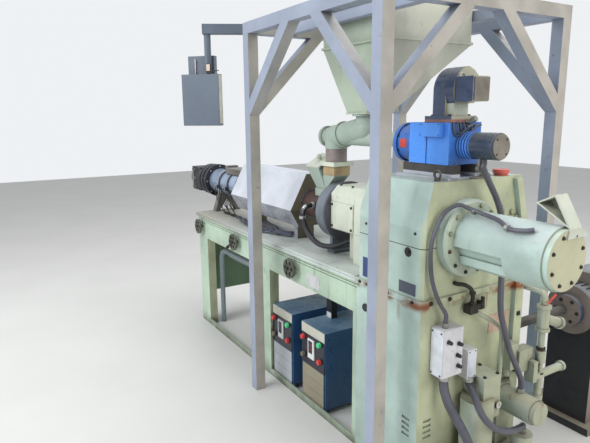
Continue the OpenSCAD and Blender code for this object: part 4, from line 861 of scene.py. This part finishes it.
def drive_details():
    """Cooling fins round the main motor, but for the side of its feet, and the bolts of its front."""
    low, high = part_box("drive_motor")
    y0, y1 = low[1] * 1000 + 40, high[1] * 1000
    drive_x, drive_z, fins = 205, 640, 28
    bm = bmesh.new()
    for k in range(fins):
        angle = 2 * math.pi * k / fins
        if math.sin(angle) < -0.35:
            continue
        place = Matrix.Translation(mm(drive_x, 0, drive_z)) @ Matrix.Rotation(angle, 4, "Y")
        bmesh.ops.create_cube(bm, size=1, matrix=place @ Matrix.Translation(mm(-131, (y0 + y1) / 2, 0))
                              @ Matrix.Diagonal((0.006, (y1 - y0 - 60) / 1000, 0.005, 1)))
    for place in ring_of(mm(drive_x, low[1] * 1000, drive_z), (0, -1, 0), 0.06, 6):
        add_bolt(bm, place, (0, -1, 0), 0.009)
    piece_from(bm, "drive_fins", MACHINE, trim["soot"])


def finish_scene():
    """Pale floor, plain pale surroundings and soft lamps."""
    floor_mesh = bpy.data.meshes.new("floor")
    bm = bmesh.new()
    bmesh.ops.create_grid(bm, x_segments=1, y_segments=1, size=14)
    bm.to_mesh(floor_mesh)
    bm.free()
    floor = bpy.data.objects.new("floor", floor_mesh)
    bpy.context.collection.objects.link(floor)
    s = Shader("floor_look", 0.6)
    s.colour(s.mix(s.ramp(s.noise(1.5, 4), 0.3, 0.7), linear(212, 210, 206), linear(208, 206, 202)))
    floor_mesh.materials.append(s.done())

    world = bpy.data.worlds.new("room")
    bpy.context.scene.world = world
    world.use_nodes = True
    nodes, links = world.node_tree.nodes, world.node_tree.links
    light = nodes["Background"]
    light.inputs["Color"].default_value = (0.93, 0.96, 1.0, 1)
    light.inputs["Strength"].default_value = 0.55
    seen = nodes.new("ShaderNodeBackground")
    seen.inputs["Color"].default_value = (0.86, 0.88, 0.9, 1)
    path = nodes.new("ShaderNodeLightPath")
    either = nodes.new("ShaderNodeMath")
    either.operation = "MAXIMUM"
    links.new(path.outputs["Is Camera Ray"], either.inputs[0])
    links.new(path.outputs["Is Glossy Ray"], either.inputs[1])
    mix = nodes.new("ShaderNodeMixShader")
    links.new(either.outputs[0], mix.inputs["Fac"])
    links.new(light.outputs["Background"], mix.inputs[1])
    links.new(seen.outputs["Background"], mix.inputs[2])
    links.new(mix.outputs["Shader"], nodes["World Output"].inputs["Surface"])

    for name, place, aim, size, power, tint in (
            ("lamp_operator", (-1.5, -5.0, 4.2), (-0.8, 0, 1.0), 4.0, 250, (0.93, 0.97, 1.0)),
            ("lamp_above", (-0.5, 1.5, 5.5), (-0.8, 0, 0.8), 5.0, 200, (0.97, 0.99, 1.0)),
            ("lamp_drive", (4.5, 0.5, 3.2), (0.2, 0, 1.0), 3.0, 95, (1.0, 0.99, 0.96))):
        data = bpy.data.lights.new(name, "AREA")
        data.size = size
        data.energy = power
        data.color = tint
        lamp = bpy.data.objects.new(name, data)
        bpy.context.collection.objects.link(lamp)
        lamp.location = place
        lamp.rotation_euler = (Vector(aim) - Vector(place)).to_track_quat("-Z", "Y").to_euler()


add_camera()
gearbox_details()
box_details()
motor_details()
unit_details()
base_details()
feed_details()
die_details()
pendant_details()
hopper_details()
drive_details()
finish_scene()
bpy.context.scene.view_settings.view_transform = "Standard"
